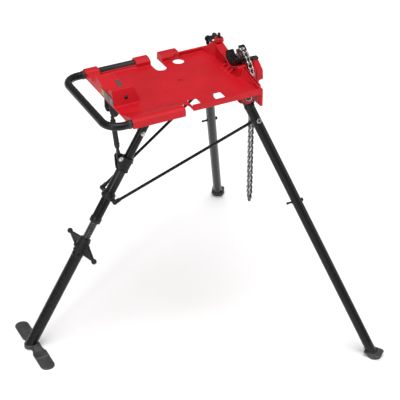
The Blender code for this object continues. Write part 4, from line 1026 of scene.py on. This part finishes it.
def strut_ears():
    """The sheet collar clamped round the outer tube, flared into two ears for the strut."""
    ring = [(0.0205, EAR_Z + 0.009), (0.0205, EAR_Z - 0.0395), (0.0142, EAR_Z - 0.0395),
            (0.0142, EAR_Z + 0.009)]
    flare = lathe([(0.0222, EAR_Z - 0.0345), (0.0222, EAR_Z - 0.0395), (0.015, EAR_Z - 0.0395),
                   (0.015, EAR_Z - 0.0345)], 56, ring=True)
    eared = [(-0.004, EAR_Z - 0.038), (-0.004, EAR_Z + 0.008),
             *arc((EAR_X, EAR_Z), 0.0104, 75, 215, 15), (-0.019, EAR_Z - 0.038)]
    ears = [slab([eared], y, y + 0.005, 0.0008, "XZ") for y in (-0.0155, 0.0105)]
    bosses = [along(bar((0, 0, 0), (0, 0, 0.0012), 0.0082), (EAR_X, side * 0.015, EAR_Z),
                    Y * side) for side in (-1, 1)]
    bores = [bar((0, 0, EAR_Z - 0.06), (0, 0, EAR_Z + 0.03), 0.0143),
             bar((0, 0, EAR_Z - 0.06), (0, 0, EAR_Z - 0.0037), 0.0168)]
    lug = bar((0.015, 0, EAR_Z - 0.006), (0.0245, 0, EAR_Z - 0.006), 0.0052, 0.0044)
    collar = cast([lathe(ring, 56, ring=True), flare, *ears, *bosses, lug], 0.0008, 4, bores)
    piece("strut_collar", collar, BLACK_PART, "tail_leg", "strut_ears", sharp=50)
    heads = [on_washer((EAR_X, side * 0.0163, EAR_Z), Y * side, (0.003, 0.0078, 0.0009),
                       button_head(0.0064, 0.003, 0.0022), 0.0008) for side in (-1, 1)]
    shank = bar((EAR_X, -0.0168, EAR_Z), (EAR_X, 0.0168, EAR_Z), 0.0039, sides=24)
    spot = place_stack((0.0243, 0, EAR_Z - 0.006), X, (hex_head(0.007, 0.003), 0.0))
    piece("strut_pin_heads", joined(*heads, shank, spot), ZINC, "tail_leg", "strut_pin")


def rod_bracket():
    """The forged ring with two arms that carries the inner ends of the brace rods."""
    z = BRACKET_Z
    ring = lathe([(0.0196, z + 0.0105), (0.0212, z + 0.0085), (0.0212, z - 0.0085),
                  (0.0196, z - 0.0105), (0.015, z - 0.0105), (0.015, z + 0.0105)], 56, ring=True)
    arms = [slab([[(-0.011, 0.012), (0.011, 0.012), (0.0068, 0.036),
                   *arc((0, 0.036), 0.0072, 0, 180, 13), (-0.0068, 0.036)]], z - 0.0062,
                 z + 0.0062, 0.002)]
    arms.append(moved(arms[0].copy(), Matrix.Rotation(math.pi, 4, "Z")))
    lugs = [along(bar((0, 0, 0), (0, 0, 0.0066), 0.0056, 0.0048), (side * 0.0195, 0, z),
                  X * side) for side in (-1, 1)]
    bore = bar((0, 0, z - 0.03), (0, 0, z + 0.03), 0.0168)
    piece("rod_bracket_skin", cast([ring, *arms, *lugs], 0.0008, 4, [bore]), BLACK_PART,
          "tail_leg", "rod_bracket", sharp=50)


def levelling_screw():
    """The threaded spindle between the outer tube and the handwheel."""
    top, bottom = ends_in(TAIL, "levelling_screw")
    start, reach, thread_pitch = -0.4557, 0.15, 0.0055
    spindle = thread(0.0125, 0.0103, thread_pitch, reach)
    core = lathe([(0, -reach + 0.002), (0.01, -reach + 0.002), (0.01, bottom.z - start),
                  (0, bottom.z - start)], 40)
    inner = lathe([(0, top.z - start), (0.0134, top.z - start), (0.0134, -0.0002), (0, -0.0002)],
                  40)
    piece("levelling_spindle", joined(shifted(spindle, z=-reach), core, inner), SCREW, "tail_leg",
          "levelling_screw", place=TAIL @ at((0, 0, start)))


def handwheel():
    """The cast levelling nut: a ringed hub, two ribbed arms that end in balls, two lugs."""
    top = 0.053
    hub = [(0.0172, top), (0.0186, top - 0.0015), (0.0186, top - 0.006), (0.02, top - 0.008),
           (0.0207, 0.034), (0.0207, 0.011), (0.0218, 0.005), (0.0218, 0.0015), (0.0208, GAP),
           (0.0135, GAP), (0.0135, top)]
    solids = [lathe(hub, 64, ring=True)]
    web = [(0.014, 0.0055), (0.06, 0.0165), (0.094, 0.0192), (0.094, 0.0258), (0.06, 0.029),
           (0.014, 0.0425)]
    for side in (-1, 1):
        rim = [(u * side, v) for u, v in web]
        solids.append(slab([rim[::side]], -0.0042, 0.0042, 0.0012, "YZ"))
        for start, end in (((0.017, 0.0075), (0.092, 0.0205)), ((0.017, 0.0405), (0.092, 0.0245))):
            solids.append(bar((0, side * start[0], start[1]), (0, side * end[0], end[1]), 0.0062,
                              0.0034))
        solids.append(shifted(ball(0.0092, 18, 36), y=side * 0.0995, z=0.0225))
        solids.append(bar((side * 0.012, 0, 0.022), (side * 0.029, 0, 0.022), 0.007, 0.0056))
    bore = bar((0, 0, -0.01), (0, 0, top + 0.01), 0.0131)
    piece("handwheel_skin", cast(solids, 0.0009, 4, [bore]), BLACK_PART, "handwheel",
          "levelling_handwheel", sharp=50)


def lower_leg():
    """The telescoping lower tube, cut to stand on the foot pedal."""
    top, bottom = ends_in(LOWER, "tail_lower_tube")
    sheet_top, tube_end = 0.0076, 0.0118
    tilt = LOWER.inverted().to_3x3()
    level = LOWER.inverted() @ Vector((LOWER.translation.x, 0, tube_end))
    tube = trimmed(tube_skin(top.z, bottom.z - 0.06, 0.0185, 0.0008), level, tilt @ -Z)
    piece("tail_lower_skin", tube, BLACK, "lower_leg", "tail_lower_tube")

    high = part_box("foot_pedal")[1]
    centre = PEDAL_X
    half_neck, half_paddle, reach, shoulder, corner = 0.018, 0.024, high.y, 0.044, 0.0225
    quarter = [(half_neck, 0.0), (half_neck, 0.03), (half_neck + 0.001, 0.036),
               (half_paddle - 0.0008, shoulder), (half_paddle, shoulder + 0.006),
               *arc((half_paddle - corner, reach - corner), corner, 0, 90, 10)]
    outline = quarter + [(-x, y) for x, y in reversed(quarter)]
    outline += [(-x, -y) for x, y in quarter[1:]] + [(x, -y) for x, y in reversed(quarter[1:])]
    sheet = slab([outline], 0.0, 0.0056, 0.0012)
    foot_of_tube = LOWER.translation + (LOWER.to_3x3() @ Z) * (
        (sheet_top - LOWER.translation.z) / (LOWER.to_3x3() @ Z).z)
    base_x = foot_of_tube.x - centre
    rings = ((0.0, 0.0187, 0.0198, 0.003), (0.005, 0.0232, 0.0206, 0.016))
    collar = hull([(base_x + shift + wide * math.cos(a), deep * math.sin(a), z)
                   for shift, wide, deep, z in rings
                   for a in (math.pi * i / 18 for i in range(36))])
    ribs = [hull([(x, y, z) for y in (side * 0.01, side * 0.04) for x, z in
                  ((-0.015, 0.003), (0.015, 0.003))]
                 + [(x, side * 0.01, 0.015) for x in (-0.008, 0.011)]
                 + [(x, side * 0.04, 0.0066) for x in (-0.008, 0.008)]) for side in (-1, 1)]
    keep_out = block((-0.1, -0.2, -0.05), (0.1, 0.2, 0.0))
    skin = cast([sheet, collar, *ribs], 0.0012, 4, [keep_out])
    for vertex in skin.vertices:
        y = abs(vertex.co.y)
        crease = 0.0018 * math.exp(-((y - 0.077) / 0.0022) ** 2)
        rise = 0.002 * min(1.0, max(0.0, (0.084 - y) / 0.012))
        if vertex.co.z > 0.0028:
            vertex.co.z += rise - crease
        elif y < 0.084:
            vertex.co.z += rise * 0.6
    piece("pedal_skin", skin, GREY, "lower_leg", "foot_pedal", place=at((centre, 0, 0)), sharp=50)


# ---------------------------------------------------------------- strut and brace rods
def folding_strut():
    cap_z, neck_z = 0.1545, 0.139
    barrel = [(0, cap_z), (0.0048, cap_z), (0.0058, cap_z - 0.0012), (0.0058, neck_z + 0.0012),
              (0.0085, neck_z), (0.0085, 0.044), (0.0076, 0.0385), (0.0052, 0.033),
              (0.005, 0.018), (0, 0.018)]
    eye_outline = [(-0.0056, 0.024), (-0.006, 0.01), *arc((0, 0), 0.0086, 150, 390, 21),
                   (0.006, 0.01), (0.0056, 0.024)]
    eye = slab([eye_outline], -0.0046, 0.0046, 0.0012, "XZ")
    band = [(0.0086, 0.052), (0.0092, 0.0514), (0.0092, 0.0486), (0.0086, 0.048)]
    piece("strut_body", joined(lathe(barrel, 48), eye, lathe(band, 48, ring=True)), BLACK_PART,
          "strut", "strut_barrel")
    rod = [(0, 0.169), (0.003, 0.169), (0.004, 0.1678), (0.004, cap_z + GAP), (0, cap_z + GAP)]
    piece("strut_spindle", lathe(rod, 32), ZINC, "strut", "strut_rod")


def brace_rod(word):
    """A round rod with a ball joint at the bracket and a pressed eye at the leg."""
    joint = JOINTS[f"{word}_rod_swing"]
    start = Vector(joint["pos_m"])
    side = -1 if word == "right" else 1
    leg_axis = LEG[word].to_3x3() @ Y
    inward = leg_axis if (leg_axis.y * side) < 0 else -leg_axis
    pin = LEG[word] @ Vector((0, 0, BRACE_PIN_Z))
    end = pin + inward * EYE_OFFSET
    along_rod = (end - start).normalized()
    flat_from, flat_to = end - along_rod * 0.04, end - along_rod * 0.006
    shaft = sweep([start + along_rod * 0.004, flat_from, flat_to], 0.005, 24)
    neck = hull([flat_from + along_rod * 0.006 + along_rod.cross(inward) * s * 0.003
                 + inward * t * 0.0042 for s in (-1, 1) for t in (-1, 1)]
                + [end - along_rod * 0.004 + along_rod.cross(inward) * s * 0.0072
                   + inward * t * 0.004 for s in (-1, 1) for t in (-1, 1)])
    eye = along(shifted(lathe([(0, 0.01), (0.0084, 0.01), (0.0096, 0.0088), (0.0096, 0.0012),
                               (0.0084, 0.0), (0, 0.0)], 40), z=-0.005), end, inward)
    collar = along(lathe([(0, 0.02), (0.0052, 0.02), (0.0068, 0.018), (0.0072, 0.004),
                          (0, 0.004)], 32), start, along_rod)
    skin = cast([shaft, neck, eye, shifted(ball(0.0086, 16, 32), *start), collar], 0.0011, 3,
                faces=0.6)
    piece(f"{word}_rod_skin", skin, BLACK, f"{word}_rod", f"{word}_brace_rod", sharp=60)
    head = on_washer(end + inward * 0.005, inward, (0.003, 0.0074, 0.0008), hex_head(0.01, 0.003),
                     0.0008)
    piece(f"{word}_rod_bolt", head, ZINC, f"{word}_rod")


# ---------------------------------------------------------------- assembly
for build in (tray, handle, rest_parts, tail_bracket, vise, crank, chain):
    build()
for leg in ("right", "left"):
    front_leg(leg)
    brace_rod(leg)
for build in (hinge_bolts, tail_tubes, strut_ears, rod_bracket, levelling_screw, handwheel,
              lower_leg, folding_strut):
    build()

NODE_LOOKS = {
    "red_casting": RED, "black_coat": BLACK, "grey_coat": GREY, "bright_steel": ZINC,
    "dark_steel": DARK, "jaw_iron": JAW,
}
for node in NODES.values():
    for place in node.material_slots:
        plain = place.material.name.split(".")[0]
        place.material = NODE_LOOKS.get(plain, PAD)
